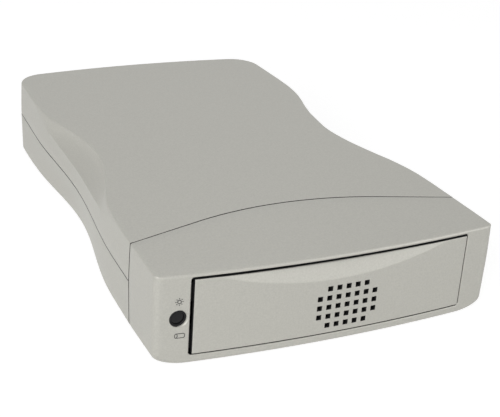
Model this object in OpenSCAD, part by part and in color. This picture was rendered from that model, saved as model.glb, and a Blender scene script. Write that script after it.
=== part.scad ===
// External hard drive enclosure with wave-shaped sides, a bowed bezel and a removable vented plate.
// Front faces -Y, +Z is up, and the origin is on the table under the middle of the case.

/* [Case] */
// Width over the side seam at the front
body_w = 182; // [180:1:190]
// Depth from the middle of the front to the middle of the back
body_d = 290; // [288:1:300]
// Height of the top above the table
body_h = 48; // [47.5:0.5:52]
// Width at the rear corners
rear_w = 164; // [162:1:170]
// Thickness of the moulded walls
wall = 2.4; // [2:0.1:2.6]
// Height of the side seam above the table
seam_z = 27.6; // [26:0.2:29]
// Gap between the table and the underside
stand = 1.2; // [1:0.1:1.6]
// Bow of the front in plan
face_bow = 5.2; // [4:0.1:6]
// Radius of the rear corners in plan
rear_corner_r = 18; // [16:1:20]
// Radius of the back wall in plan
rear_arc_r = 600; // [500:10:900]

/* [Wave sides] */
// Distance from the front corners back to the middle of the waist
waist_run = 143; // [138:1:148]
// Length of the waist's wave
waist_len = 165; // [150:1:170]
// How far the top edge draws in at the waist
top_waist = 14; // [10:0.5:15]
// How far the side walls draw in at the waist
side_waist = 4; // [2:0.5:5]
// How far below the top the side scoops reach
scoop_h = 9.2; // [7:0.2:11]
// Distance from the front corners back to the start of the scoops
scoop_start = 57; // [52:1:62]
// Length of the scoops
scoop_len = 173; // [165:1:180]
// Distance from the front corners back to the middle of the underside's waist
base_waist_run = 165; // [155:1:175]
// Length of the underside's waist
base_waist_len = 190; // [170:1:195]
// How far the underside draws in at its waist
base_waist = 4.2; // [2:0.2:5]

/* [Front bezel] */
// Depth of the bezel along its sides
bezel_d = 36; // [34:1:40]
// How much further back the bezel reaches in the middle of the top
bezel_rise = 20; // [18:0.5:24]
// Thickness of the bezel's walls
bezel_wall = 1.6; // [1.4:0.1:1.7]
// Width of the front opening
open_w = 148.4; // [147:0.2:149]
// Height of the front opening
open_h = 40.8; // [40:0.2:41]
// Height of the opening's lower edge above the table
open_z = 5.4; // [5:0.1:5.6]
// How far the opening's middle sits right of the case's middle
open_shift = 0.4; // [0:0.1:1]

/* [Front plate] */
// Thickness of the plate
plate_t = 2.4; // [2:0.1:2.6]
// Side of the square vent holes
vent_hole = 2.7; // [2.2:0.1:3]
// Spacing of the vent holes
vent_pitch = 5; // [4.6:0.1:5]
// Half the width of the finger scoop
grip_half = 62; // [50:1:64]
// Height of the finger scoop in its middle
grip_h = 10; // [7:0.5:10]
// Depth of the finger scoop at the plate's top edge
grip_d = 5.5; // [4:0.5:6]

/* [Indicator] */
// Radius of the round window
window_r = 4.25; // [4:0.05:4.3]
// How far the window's middle sits left of the case's middle
window_x = 79.4; // [79.3:0.1:80]
// Height of the window's middle above the table
window_z = 25.7; // [25:0.1:27]

/* [Drive] */
// Width of the drive
drive_w = 101.6; // [100:0.1:102]
// Length of the drive
drive_l = 147; // [145:1:148]
// Height of the drive
drive_h = 26.1; // [25.4:0.1:26.5]
// Distance from the front corners back to the drive
drive_run = 45; // [42:1:46]
// Height of the drive's underside above the table
drive_z = 10.5; // [10:0.1:11]
// Radius of the discs
disc_r = 46; // [44:0.5:46.5]

/* [Rear] */
// Distance from the back of the case forward to the rear panel's face
panel_recess = 8.8; // [8:0.1:9.5]
// Thickness of the rear panel
panel_t = 2; // [1.6:0.1:2.2]
// Side of the square fan
fan_w = 40; // [38:0.5:40]
// Thickness of the fan
fan_t = 10; // [9:0.5:11]
// Angle between the rocker's two positions
rocker_swing = 20; // [14:1:20]

/* [Hidden] */

// Smoothness of round parts, and of the very large front radii
$fn = 48;
bow_fn = 720;
// Overrun of every cut past the face that it opens
over = 1;
// Play between a screw or pin and its hole
play = 0.05;
// Clearance around pieces that slot into each other
slip = 0.3;

silver_paint = [0.74, 0.74, 0.71];
black_plastic = [0.08, 0.08, 0.09];
steel = [0.72, 0.73, 0.75];
brass = [0.80, 0.66, 0.32];
cast_alloy = [0.62, 0.63, 0.64];
board_green = [0.10, 0.34, 0.20];

// Case planes
back_y = body_d / 2;
face_y = face_bow - back_y;
joint_y = face_y + bezel_d;
floor_z = stand + wall;
ceil_z = body_h - wall;
waist_y = face_y + waist_run;
base_waist_y = face_y + base_waist_run;
scoop_y = face_y + scoop_start;
panel_y1 = back_y - panel_recess;
panel_y0 = panel_y1 - panel_t;
drive_y0 = face_y + drive_run;
drive_y1 = drive_y0 + drive_l;

// Side wall shape
taper_power_share = 1.25;
scoop_power_share = 0.7;
hollow_gain_share = 2;
top_inset = 0.4;
edge_r = 1;
base_inset = 0.6;
base_round_w = 8;
base_round_h = 4;
seam_gap = 0.3;
scoop_shares = [1, 0.6, 0.3, 0.1, 0];
base_angles = [0, 30, 60, 90];

// Rear outline: corner circles that run into one long arc
arc_cy = back_y - rear_arc_r;
corner_x = rear_w / 2 - rear_corner_r;
corner_y = arc_cy + sqrt(pow(rear_arc_r - rear_corner_r, 2) - pow(corner_x, 2));
corner_turn = 90 - asin(corner_x / (rear_arc_r - rear_corner_r));
side_steps = 28;
corner_steps = 5;
rear_steps = 3;
half_steps = side_steps + corner_steps + rear_steps;

// Front bow: an arc through the middle of the front and both front corners
bow_r = (pow(body_w / 2, 2) + pow(face_bow, 2)) / (2 * face_bow);
function bow_y(x) = bow_r - back_y - sqrt(pow(bow_r, 2) - pow(x, 2));

// A raised cosine, 1 at mid and 0 from half a length away on
function wave(y, mid, len) = abs(y - mid) < len / 2 ? (1 + cos(360 * (y - mid) / len)) / 2 : 0;

// Half width of the case at the seam
function side_half(y) =
    body_w / 2
    - (body_w - rear_w) / 2 * pow(min(1, max(0, (y - face_y) / (corner_y - face_y))), taper_power_share)
    - side_waist * wave(y, waist_y, waist_len);

// How deep the scoop is at y, as a share of its depth in the middle
function scoop_arch(y) =
    let (u = (y - scoop_y) / scoop_len) u <= 0 || u >= 1 ? 0 : pow(sin(180 * u), scoop_power_share);

// How far the wall leans in above the seam, and below it
function top_lean(z) = top_inset * pow((z - seam_z) / (body_h - seam_z), 2);
function base_lean(z, full, round_z) = full * (seam_z - z) / (seam_z - round_z);

// Inset and height of the cover's levels, from the seam at level 0 to the top's edge
cover_last = len(scoop_shares) + 1;
function cover_level(k, y) =
    let (drop = edge_r + (scoop_h - edge_r) * scoop_arch(y), shoulder_z = body_h - drop)
    let (half_z = (seam_z + shoulder_z) / 2)
    let (edge_in = top_inset + edge_r + (top_waist - side_waist) * wave(y, waist_y, waist_len))
    let (hollow = min(1, hollow_gain_share * wave(y, waist_y, waist_len)))
    k == 0 ? [0, seam_z + seam_gap / 2]
    : k == 1 ? [top_lean(half_z), half_z]
    : let (d = scoop_shares[k - 2])
      [edge_in - (edge_in - top_lean(shoulder_z)) * (hollow * d * d + (1 - hollow) * sqrt(2 * d - d * d)),
       body_h - drop * d];

// Inset and height of the base's levels, from the seam at level 0 to the underside's edge
base_last = len(base_angles) + 1;
function base_level(k, y) =
    let (full = base_inset + base_waist * wave(y, base_waist_y, base_waist_len))
    let (round_z = stand + base_round_h)
    k == 0 ? [0, seam_z - seam_gap / 2]
    : k == 1 ? [full / 2, (seam_z + round_z) / 2]
    : let (a = base_angles[k - 2])
      [full + base_round_w * (1 - cos(a)), round_z - base_round_h * sin(a)];

// Point s of the right half outline, drawn in by an inset: side, corner, then half the back
function outline_y(s) = s < side_steps ? joint_y + (corner_y - joint_y) * s / side_steps : corner_y;
function outline_point(s, inset) =
    s <= side_steps ? [side_half(outline_y(s)) - inset, outline_y(s)]
    : s <= side_steps + corner_steps ?
      let (a = corner_turn * (s - side_steps) / corner_steps)
      [corner_x + (rear_corner_r - inset) * cos(a), corner_y + (rear_corner_r - inset) * sin(a)]
    : let (a = (90 - corner_turn) * (half_steps - s) / rear_steps)
      [(rear_arc_r - inset) * sin(a), arc_cy + (rear_arc_r - inset) * cos(a)];

// One open ring of a shell, from the right front round the back to the left front
function folded(s) = s <= half_steps ? s : 2 * half_steps - s;
function ring_point(s, inset, z) =
    let (p = outline_point(folded(s), inset))
    [(s <= half_steps ? 1 : -1) * p[0], p[1], z];
function cover_ring(k, t) = [for (s = [0 : 2 * half_steps])
    let (c = cover_level(k, outline_y(folded(s)))) ring_point(s, c[0] + t, c[1] - (k > 1 ? t : 0))];
function base_ring(k, t) = [for (s = [0 : 2 * half_steps])
    let (c = base_level(k, outline_y(folded(s)))) ring_point(s, c[0] + t, c[1] + (k > 1 ? t : 0))];

// The joint between bezel and cover on top: an arc that runs into straight lines
joint_arc_r = 157;
joint_arc_half = 51;
joint_steps = 8;
function joint_drop(x) =
    let (u = min(abs(x), joint_arc_half), level = sqrt(pow(joint_arc_r, 2) - pow(u, 2)))
    joint_arc_r - level + (abs(x) - u) * u / level;
function joint_line(x, half) = joint_y + bezel_rise * (1 - joint_drop(x) / joint_drop(half));

// Points of the lid's front edge between the two ends of its last ring
function lid_edge(ring, curved) =
    let (half = ring[0][0], z = ring[0][2])
    curved ? [for (j = [1 - joint_steps : joint_steps - 1])
        let (x = half * j / joint_steps) [x, joint_line(x, half), z]] : [];

function flat_list(a) = [for (b = a) for (c = b) c];
function turned(f) = [for (i = [len(f) - 1 : -1 : 0]) f[i]];

// A shell with a rim, walls and a lid, open at its front, from rings of outer and inner points
crown_row = floor(bezel_rise * side_steps / (corner_y - joint_y)) + 1;
function lid_strips(first, n, row) =
    [for (i = [row : (n - 3) / 2]) for (f = concat([[i + 1, i, n - 1 - i]],
        i + 1 < n - 2 - i ? [[i + 1, n - 1 - i, n - 2 - i]] : [])) [for (v = f) first + v]];
function lid_fans(first, n, edge, e, row) =
    let (arc = concat([first], [for (j = [e - 1 : -1 : 0]) edge + j], [first + n - 1]), mid = (e + 1) / 2)
    concat([for (k = [0 : row - 1]) [first + k + 1, first + k, arc[1]]],
           [for (j = [1 : mid - 1]) [arc[j], arc[j + 1], first + row]],
           [[first + row, arc[mid], first + n - 1 - row]],
           [for (j = [mid : e - 1]) [arc[j], arc[j + 1], first + n - 1 - row]],
           [for (k = [0 : row - 1]) [first + n - 1 - k, first + n - 2 - k, arc[e]]]);
module ring_shell(outer, inner, curved = false, flip = false) {
    n = len(outer[0]);
    m = len(outer);
    outer_edge = lid_edge(outer[m - 1], curved);
    inner_edge = lid_edge(inner[m - 1], curved);
    e = len(outer_edge);
    from = m * n + e;
    walls = [for (k = [0 : m - 2]) for (i = [0 : n - 2]) for (f = [
        [k * n + i, (k + 1) * n + i, (k + 1) * n + i + 1],
        [k * n + i, (k + 1) * n + i + 1, k * n + i + 1],
        [from + k * n + i, from + k * n + i + 1, from + (k + 1) * n + i + 1],
        [from + k * n + i, from + (k + 1) * n + i + 1, from + (k + 1) * n + i]]) f];
    rim = [for (i = [0 : n - 2]) for (f = [[i, i + 1, from + i + 1], [i, from + i + 1, from + i]]) f];
    ends = [for (k = [0 : m - 2]) for (f = [
        [from + k * n, from + (k + 1) * n, (k + 1) * n], [from + k * n, (k + 1) * n, k * n],
        [k * n + n - 1, (k + 1) * n + n - 1, from + (k + 1) * n + n - 1],
        [k * n + n - 1, from + (k + 1) * n + n - 1, from + k * n + n - 1]]) f];
    high = concat([m * n - 1], [for (j = [0 : 1 : e - 1]) m * n + j], [(m - 1) * n]);
    low = [for (i = high) from + i];
    brow = [for (j = [0 : len(high) - 2]) for (f = [
        [low[j], high[j], high[j + 1]], [low[j], high[j + 1], low[j + 1]]]) f];
    lid = concat(lid_strips((m - 1) * n, n, curved ? crown_row : 0),
                 curved ? lid_fans((m - 1) * n, n, m * n, e, crown_row) : []);
    lids = concat(lid, [for (f = lid) turned([for (v = f) from + v])]);
    faces = concat(walls, rim, ends, brow, lids);
    polyhedron(concat(flat_list(outer), outer_edge, flat_list(inner), inner_edge),
               flip ? [for (f = faces) turned(f)] : faces);
}

// A block between two corners
module block(low, high) {
    translate(low) cube(high - low);
}

// Cylinders along the axes, from a starting point
module rod_x(at, r, l) {
    translate(at) rotate([0, 90, 0]) cylinder(r = r, h = l);
}
module rod_y(at, r, l) {
    translate(at) rotate([-90, 0, 0]) cylinder(r = r, h = l);
}
module rod_z(at, r, l) {
    translate(at) cylinder(r = r, h = l);
}

// Case screws: four posts of the base meet four posts of the cover
post_r = 4;
post_meet_z = 12;
post_front_x = 69.5;
post_front_run = 58;
post_rear_x = 65;
post_rear_run = 85;
case_screw_r = 1.5;
case_screw_l = 16;
case_head_r = 2.8;
case_head_h = 2;
case_seat = 3;
posts = [for (side = [-1, 1]) for (p = [[post_front_x, face_y + post_front_run],
                                        [post_rear_x, back_y - post_rear_run]]) [side * p[0], p[1]]];
rear_open_half = 66;

// Upper shell with the waist, the side scoops and four hanging screw posts
module top_cover() {
    color(silver_paint) difference() {
        union() {
            ring_shell([for (k = [0 : cover_last]) cover_ring(k, 0)],
                       [for (k = [0 : cover_last]) cover_ring(k, wall)], curved = true);
            for (p = posts) rod_z([p[0], p[1], post_meet_z], post_r, ceil_z + wall / 2 - post_meet_z);
        }
        for (p = posts)
            rod_z([p[0], p[1], post_meet_z - over], case_screw_r + play, case_seat + case_screw_l + over);
        block([-rear_open_half, panel_y0 - over, post_meet_z], [rear_open_half, back_y + over, ceil_z]);
    }
}

// Cradle bosses, board standoffs and the stop of the rear panel stand on the base's floor
boss_r = 3.5;
cradle_lift = 2.4;
m3_r = 1.5;
pilot_floor = 0.8;
cradle_z = floor_z + cradle_lift;
ear_x = 61.5;
ear_front_run = 74;
ear_rear_run = 176;
ear_places = [for (side = [-1, 1]) for (run = [ear_front_run, ear_rear_run]) [side * ear_x, face_y + run]];
board_z = 8;
board_t = 1.6;
board_end_gap = 0.5;
hole_edge = 4;
bridge_x0 = -44;
bridge_x1 = 10;
bridge_neck_x = -21;
bridge_room = 16;
bridge_neck_gap = 3;
bridge_y0 = drive_y1 + bridge_room;
bridge_y1 = panel_y0 - board_end_gap;
bridge_neck_y = panel_y0 - fan_t - bridge_neck_gap;
bridge_holes = [[bridge_x0 + hole_edge, bridge_neck_y - hole_edge], [bridge_x1 - hole_edge, bridge_y0 + 3 * hole_edge],
                [bridge_neck_x + hole_edge, bridge_neck_y - hole_edge]];
psu_x0 = 15;
psu_x1 = 66;
psu_room = 20;
psu_end_gap = 2;
inlet_back = 20;
psu_y0 = drive_y1 + psu_room;
psu_y1 = panel_y0 - inlet_back - psu_end_gap;
psu_holes = [for (x = [psu_x0 + hole_edge, psu_x1 - hole_edge]) for (y = [psu_y0 + hole_edge, psu_y1 - hole_edge])
                [x, y]];
board_holes = concat(bridge_holes, psu_holes);
stop_x0 = -18;
stop_x1 = 62;
stop_t = 1.6;
stop_h = 3;

// Lower tray with its screw posts, bosses, standoffs and the panel's stop
module bottom_shell() {
    color(silver_paint) difference() {
        union() {
            ring_shell([for (k = [0 : base_last]) base_ring(k, 0)],
                       [for (k = [0 : base_last]) base_ring(k, wall)], flip = true);
            for (p = posts) rod_z([p[0], p[1], floor_z - wall / 2], post_r, post_meet_z - floor_z + wall / 2);
            for (p = ear_places) rod_z([p[0], p[1], floor_z - wall / 2], boss_r, cradle_z - floor_z + wall / 2);
            for (p = board_holes) rod_z([p[0], p[1], floor_z - wall / 2], boss_r, board_z - floor_z + wall / 2);
            block([stop_x0, panel_y0 - stop_t, floor_z - wall / 2], [stop_x1, panel_y0, floor_z + stop_h]);
        }
        for (p = posts) {
            rod_z([p[0], p[1], -over], case_screw_r + play, post_meet_z + 2 * over);
            rod_z([p[0], p[1], -over], case_head_r + slip, stand + case_seat + over);
        }
        for (p = concat(ear_places, board_holes))
            rod_z([p[0], p[1], stand + pilot_floor], m3_r + play, board_z);
        block([-rear_open_half, panel_y0, floor_z], [rear_open_half, back_y + over, body_h]);
    }
}

// Bezel section: half the ring, from the top's middle down the side to the underside's middle
top_run = 8;
edge_run = 2;
side_run = 4;
round_run = 4;
h1 = top_run;
h2 = h1 + edge_run;
h3 = h2 + side_run;
h4 = h3 + round_run;
h5 = h4 + top_run;
front_r = 1.6;
front_corner_r = 3.4;
front_round_w = 15;
front_round_h = 5.5;
open_r = 1.6;
function bezel_section(h, v, tx, tz) =
    let (half = side_half(face_y + (joint_y - face_y) * v) - tx)
    let (w = front_round_w + (base_round_w - front_round_w) * v)
    let (round_z = stand + tz + front_round_h + (base_round_h - front_round_h) * v)
    let (top_x = half - top_inset - edge_r, low_x = half - base_inset - w, top_z = body_h - tz)
    h <= h1 ? [top_x * h / h1, top_z]
    : h <= h2 ? let (a = 90 * (h - h1) / edge_run) [top_x + edge_r * sin(a), top_z - edge_r * (1 - cos(a))]
    : h <= h3 ? let (z = top_z - edge_r + (round_z - top_z + edge_r) * (h - h2) / side_run)
      [half - (z > seam_z ? top_lean(z) : base_lean(z, base_inset, round_z)), z]
    : h <= h4 ? let (a = 90 * (h - h3) / round_run)
      [low_x + w * cos(a), round_z - (round_z - stand - tz) * sin(a)]
    : [low_x * (h5 - h) / top_run, stand + tz];

// The rounded opening, with one point for each point of the section
function opening_point(h) =
    let (half = open_w / 2 - open_r, top_z = open_z + open_h - open_r, low_z = open_z + open_r)
    h <= h1 ? [half * h / h1, top_z + open_r]
    : h <= h2 ? let (a = 90 * (h - h1) / edge_run) [half + open_r * sin(a), top_z + open_r * cos(a)]
    : h <= h3 ? [half + open_r, top_z + (low_z - top_z) * (h - h2) / side_run]
    : h <= h4 ? let (a = 90 * (h - h3) / round_run) [half + open_r * cos(a), low_z - open_r * sin(a)]
    : [half * (h5 - h) / top_run, low_z - open_r];

// Depth of the front edge's rounding at point h, small along top and bottom and larger at the sides
function front_edge_r(h) =
    h <= h1 || h >= h4 ? front_r
    : h <= h2 ? front_r + (front_corner_r - front_r) * (h - h1) / edge_run
    : h <= h3 ? front_corner_r
    : front_corner_r + (front_r - front_corner_r) * (h - h3) / round_run;

// Ring j of the bezel, from the opening's front edge round the outside and back to the opening
bezel_last = 9;
function bezel_rear_y(h, x) =
    (h <= h1 ? joint_line(x, side_half(joint_y) - top_inset - edge_r) : joint_y) - seam_gap;
function bezel_point(j, h, side) =
    j == 0 || j == bezel_last ?
        let (p = opening_point(h), x = open_shift + side * p[0])
        [x, bow_y(x) + (j == 0 ? 0 : bezel_wall), p[1]]
    : j <= 4 ?
        let (a = 30 * (j - 1), p = bezel_section(h, 0, front_corner_r * (1 - sin(a)), front_r * (1 - sin(a))))
        [side * p[0], bow_y(p[0]) + front_edge_r(h) * (1 - cos(a)), p[1]]
    : j == 5 ?
        let (p = bezel_section(h, 1 / 2, 0, 0), q = bezel_section(h, 1, 0, 0))
        [side * p[0], (bow_y(p[0]) + bezel_rear_y(h, q[0])) / 2, p[1]]
    : let (t = j == 6 ? 0 : bezel_wall, p = bezel_section(h, j == 8 ? 0 : 1, t, t))
        [side * p[0], j == 8 ? bow_y(p[0]) + bezel_wall : bezel_rear_y(h, p[0]), p[1]];
module bezel_frame() {
    n = 2 * h5;
    m = bezel_last + 1;
    points = [for (j = [0 : bezel_last]) for (i = [0 : n - 1])
        bezel_point(j, i <= h5 ? i : n - i, i <= h5 ? 1 : -1)];
    faces = [for (j = [0 : m - 1]) for (i = [0 : n - 1])
        let (a = j * n + i, b = j * n + (i + 1) % n, d = (j + 1) % m * n + i, c = (j + 1) % m * n + (i + 1) % n)
        for (f = [[a, d, c], [a, c, b]]) f];
    polyhedron(points, faces);
}

// Guides of the plate's four tabs, behind the bezel's front wall
tab_t = 2;
tab_h = 6;
tab_l = 15;
tab_edge = 2.4;
guide_t = 2;
guide_l = 9;
guide_edge = 4;
guide_gap = 0.6;
guide_y0 = bow_y(open_w / 2) + plate_t + guide_gap;
guide_y1 = guide_y0 + guide_l;
low_guide = 7;
high_guide = 9;
guide_heights = [open_z + low_guide, open_z + open_h - high_guide];
module guide(z) {
    tab_out = open_w / 2 - tab_edge;
    difference() {
        union() {
            block([open_w / 2 + over / 2, bow_y(open_w / 2) + bezel_wall / 2, z - tab_h / 2 - guide_t],
                  [open_w / 2 + guide_edge, guide_y1, z + tab_h / 2 + guide_t]);
            block([tab_out - tab_t - guide_t - slip, guide_y0, z - tab_h / 2 - guide_t],
                  [open_w / 2 + guide_edge, guide_y1, z + tab_h / 2 + guide_t]);
        }
        block([tab_out - tab_t - slip, guide_y0 - over, z - tab_h / 2 - slip],
              [tab_out + slip, guide_y1 + over, z + tab_h / 2 + slip]);
    }
}

// Catches that reach from the bezel over the base's floor and under the cover's ceiling
catch_w = 14;
catch_t = 2;
catch_l = 8;
catch_x = 50;
catch_back = 3;
module catch_pair(side) {
    top_y = joint_line(catch_x, side_half(joint_y));
    x0 = side * catch_x - catch_w / 2;
    x1 = x0 + catch_w;
    block([x0, joint_y - catch_l, stand + bezel_wall / 2], [x1, joint_y - 2 * seam_gap, floor_z + catch_t]);
    block([x0, joint_y - catch_l, floor_z], [x1, joint_y + catch_l, floor_z + catch_t]);
    block([x0, top_y - catch_l, ceil_z - catch_t], [x1, top_y - catch_back, body_h - bezel_wall / 2]);
    block([x0, top_y - catch_l, ceil_z - catch_t], [x1, top_y + catch_l, ceil_z]);
}

// Bowed front frame with its opening, its window hole, the plate's guides and the catches
module front_bezel() {
    color(silver_paint) difference() {
        union() {
            bezel_frame();
            for (z = guide_heights) translate([open_shift, 0, 0]) {
                guide(z);
                mirror([1, 0, 0]) guide(z);
            }
            for (side = [-1, 1]) catch_pair(side);
        }
        rod_y([-window_x, -back_y, window_z], window_r, face_bow + bezel_wall + over);
    }
}

// Front plate: its gaps to the opening, the vent pattern and the tilted finger scoop
plate_gap_left = 1.7;
plate_gap_right = 0.5;
plate_gap_top = 1.2;
plate_gap_low = 0.6;
plate_x0 = open_shift - open_w / 2 + plate_gap_left;
plate_x1 = open_shift + open_w / 2 - plate_gap_right;
plate_z0 = open_z + plate_gap_low;
plate_z1 = open_z + open_h - plate_gap_top;
vent_x = 6.5;
vent_lift = 14.3;
vent_z = plate_z0 + vent_lift;
vent_rows = [5, 7, 7, 7, 5];
grip_tilt = atan(grip_d / grip_h);
grip_curve = 2 * grip_d / pow(grip_half, 2) - 1 / bow_r;
grip_r = 1 / (grip_curve * cos(grip_tilt));
module bow_slab(t0, t1, low, high) {
    intersection() {
        translate([0, bow_r - back_y, low[1]]) difference() {
            cylinder(r = bow_r - t0, h = high[1] - low[1], $fn = bow_fn);
            translate([0, 0, -over]) cylinder(r = bow_r - t1, h = high[1] - low[1] + 2 * over, $fn = bow_fn);
        }
        block([low[0], -back_y - over, low[1]], [high[0], back_y, high[1]]);
    }
}
module grip_cutter(r) {
    translate([open_shift, -back_y, plate_z1 - grip_h]) rotate([-grip_tilt, 0, 0])
        translate([0, -grip_r, -grip_half]) cylinder(r = r, h = 2 * grip_half, $fn = bow_fn);
}
module front_plate() {
    color(silver_paint) {
        difference() {
            union() {
                bow_slab(0, plate_t, [plate_x0, plate_z0], [plate_x1, plate_z1]);
                intersection() {
                    bow_slab(plate_t / 2, grip_d + plate_t, [open_shift - grip_half, plate_z1 - grip_h - plate_t],
                             [open_shift + grip_half, plate_z1]);
                    grip_cutter(grip_r + plate_t);
                }
            }
            grip_cutter(grip_r);
            for (row = [0 : len(vent_rows) - 1]) for (i = [0 : vent_rows[row] - 1])
                translate([vent_x + vent_pitch * (i - (vent_rows[row] - 1) / 2), -back_y - over,
                           vent_z + vent_pitch * ((len(vent_rows) - 1) / 2 - row)])
                    block([-vent_hole / 2, 0, -vent_hole / 2],
                          [vent_hole / 2, face_bow + plate_t + 2 * over, vent_hole / 2]);
        }
        for (side = [-1, 1]) for (z = guide_heights) {
            x = open_shift + side * (open_w / 2 - tab_edge - tab_t / 2);
            block([x - tab_t / 2, bow_y(x) + plate_t / 2, z - tab_h / 2],
                  [x + tab_t / 2, bow_y(x) + tab_l, z + tab_h / 2]);
        }
    }
}

// A cross-head screw whose head rests on z = 0 and whose shank points down
cross_half_share = 0.6;
cross_wide_share = 0.25;
module screw(r, l, head_r, head_h) {
    difference() {
        cylinder(r = head_r, h = head_h);
        for (a = [0, 90]) rotate([0, 0, a])
            block([-head_r * cross_half_share, -head_r * cross_wide_share / 2, head_h / 2],
                  [head_r * cross_half_share, head_r * cross_wide_share / 2, head_h + over]);
    }
    translate([0, 0, -l]) cylinder(r = r, h = l);
}

// A round lead swept along a route, with its rings turned from one side direction
tube_sides = 8;
function unit(v) = v / norm(v);
module tube(route, r, side) {
    n = len(route);
    rings = [for (k = [0 : n - 1])
        let (t = unit(route[min(k + 1, n - 1)] - route[max(k - 1, 0)]))
        let (a = unit(side - (side * t) * t), b = cross(t, a))
        for (i = [0 : tube_sides - 1]) let (f = 360 * i / tube_sides) route[k] + r * (cos(f) * a + sin(f) * b)];
    walls = [for (k = [0 : n - 2]) for (i = [0 : tube_sides - 1])
        let (j = (i + 1) % tube_sides, low = k * tube_sides, high = low + tube_sides)
        for (f = [[low + i, high + i, high + j], [low + i, high + j, low + j]]) f];
    caps = [[for (i = [0 : tube_sides - 1]) i], [for (i = [tube_sides - 1 : -1 : 0]) (n - 1) * tube_sides + i]];
    polyhedron(rings, concat(walls, caps));
}

// A hump between two points of the YZ plane, level at both ends, as [y, z] points
hump_steps = 12;
function hump(low, high, rise) = [for (i = [0 : hump_steps])
    let (u = i / hump_steps, ease = (1 - cos(180 * u)) / 2)
    [low[0] + (high[0] - low[0]) * u, low[1] + (high[1] - low[1]) * ease + rise * pow(sin(180 * u), 2)]];

// Indicator: a bush in the bezel's hole, its lens, and a small board on the bush's rear end
window_y = bow_y(window_x);
bush_recess = 0.6;
bush_wall = 0.9;
bush_l = 9;
lens_t = 1.5;
lens_recess = 0.5;
led_r = 1.5;
led_l = 4;
led_gap = 3.6;
led_board_t = 1.2;
led_board_w = 10;
led_board_h = 12;
led_board_y = window_y + bush_recess + bush_l;
module indicator_bush() {
    color(black_plastic) difference() {
        rod_y([-window_x, window_y + bush_recess, window_z], window_r - play, bush_l);
        rod_y([-window_x, window_y, window_z], window_r - bush_wall, bush_recess + bush_l + over);
    }
}
module indicator_lens() {
    color(black_plastic)
        rod_y([-window_x, window_y + bush_recess + lens_recess, window_z], window_r - bush_wall - play, lens_t);
}
module indicator_board() {
    color(board_green)
        block([-window_x - led_board_w / 2, led_board_y, window_z - led_board_h / 2],
              [-window_x + led_board_w / 2, led_board_y + led_board_t, window_z + led_board_h / 2]);
}
module indicator_leds() {
    color([0.85, 0.9, 0.85]) for (side = [-1, 1])
        rod_y([-window_x, led_board_y - led_l, window_z + side * led_gap / 2], led_r, led_l);
}

// Four stick-on feet, and the screws that close the case from below
foot_r = 7;
foot_x = 62;
foot_front_run = 46;
foot_rear_x = 56;
foot_rear_run = 32;
module rubber_feet() {
    color(black_plastic) for (side = [-1, 1]) {
        rod_z([side * foot_x, face_y + foot_front_run, 0], foot_r, stand);
        rod_z([side * foot_rear_x, back_y - foot_rear_run, 0], foot_r, stand);
    }
}
module case_screws() {
    color(steel) for (p = posts) translate([p[0], p[1], stand + case_seat]) rotate([180, 0, 0])
        screw(case_screw_r, case_screw_l, case_head_r, case_head_h);
}

// Folded steel cradle: a base with a large window, two side walls and four ears
cradle_t = 1.2;
cradle_front = 3;
cradle_rear = 10;
cradle_wall_z = 24;
cradle_window = 14;
ear_half = 6;
side_hole_lift = 6.35;
side_hole_z = drive_z + side_hole_lift;
side_hole_rear = 28.5;
side_hole_span = 101.6;
side_places = [for (run = [side_hole_rear, side_hole_rear + side_hole_span]) drive_y1 - run];
drive_screw_r = 1.7;
drive_screw_l = 5;
drive_head_r = 3;
drive_head_h = 1.8;
m3_head_r = 2.7;
m3_head_h = 1.6;
m3_l = 4;
module drive_cradle() {
    half = drive_w / 2 + cradle_t;
    y0 = drive_y0 + cradle_front;
    y1 = drive_y1 - cradle_rear;
    color(steel) difference() {
        union() {
            block([-half, y0, cradle_z], [half, y1, cradle_z + cradle_t]);
            for (side = [-1, 1]) translate([side * (half - cradle_t / 2), 0, 0])
                block([-cradle_t / 2, y0, cradle_z], [cradle_t / 2, y1, cradle_wall_z]);
            for (p = ear_places) if (p[0] > 0)
                block([-p[0] - ear_half, p[1] - ear_half, cradle_z], [p[0] + ear_half, p[1] + ear_half, cradle_z + cradle_t]);
        }
        block([cradle_window - half, y0 + 2 * cradle_window, cradle_z - over],
              [half - cradle_window, y1 - 2 * cradle_window, cradle_z + cradle_t + over]);
        for (p = ear_places) rod_z([p[0], p[1], cradle_z - over], m3_r + play, cradle_t + 2 * over);
        for (y = side_places) rod_x([-half - over, y, side_hole_z], drive_screw_r + play, 2 * (half + over));
    }
}
module cradle_screws() {
    color(steel) for (p = ear_places) translate([p[0], p[1], cradle_z + cradle_t])
        screw(m3_r, m3_l, m3_head_r, m3_head_h);
}
module drive_side_screws() {
    color(steel) for (side = [-1, 1]) for (y = side_places)
        translate([side * (drive_w / 2 + cradle_t), y, side_hole_z]) rotate([0, side * 90, 0])
            screw(drive_screw_r, drive_screw_l + cradle_t, drive_head_r, drive_head_h);
}

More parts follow.
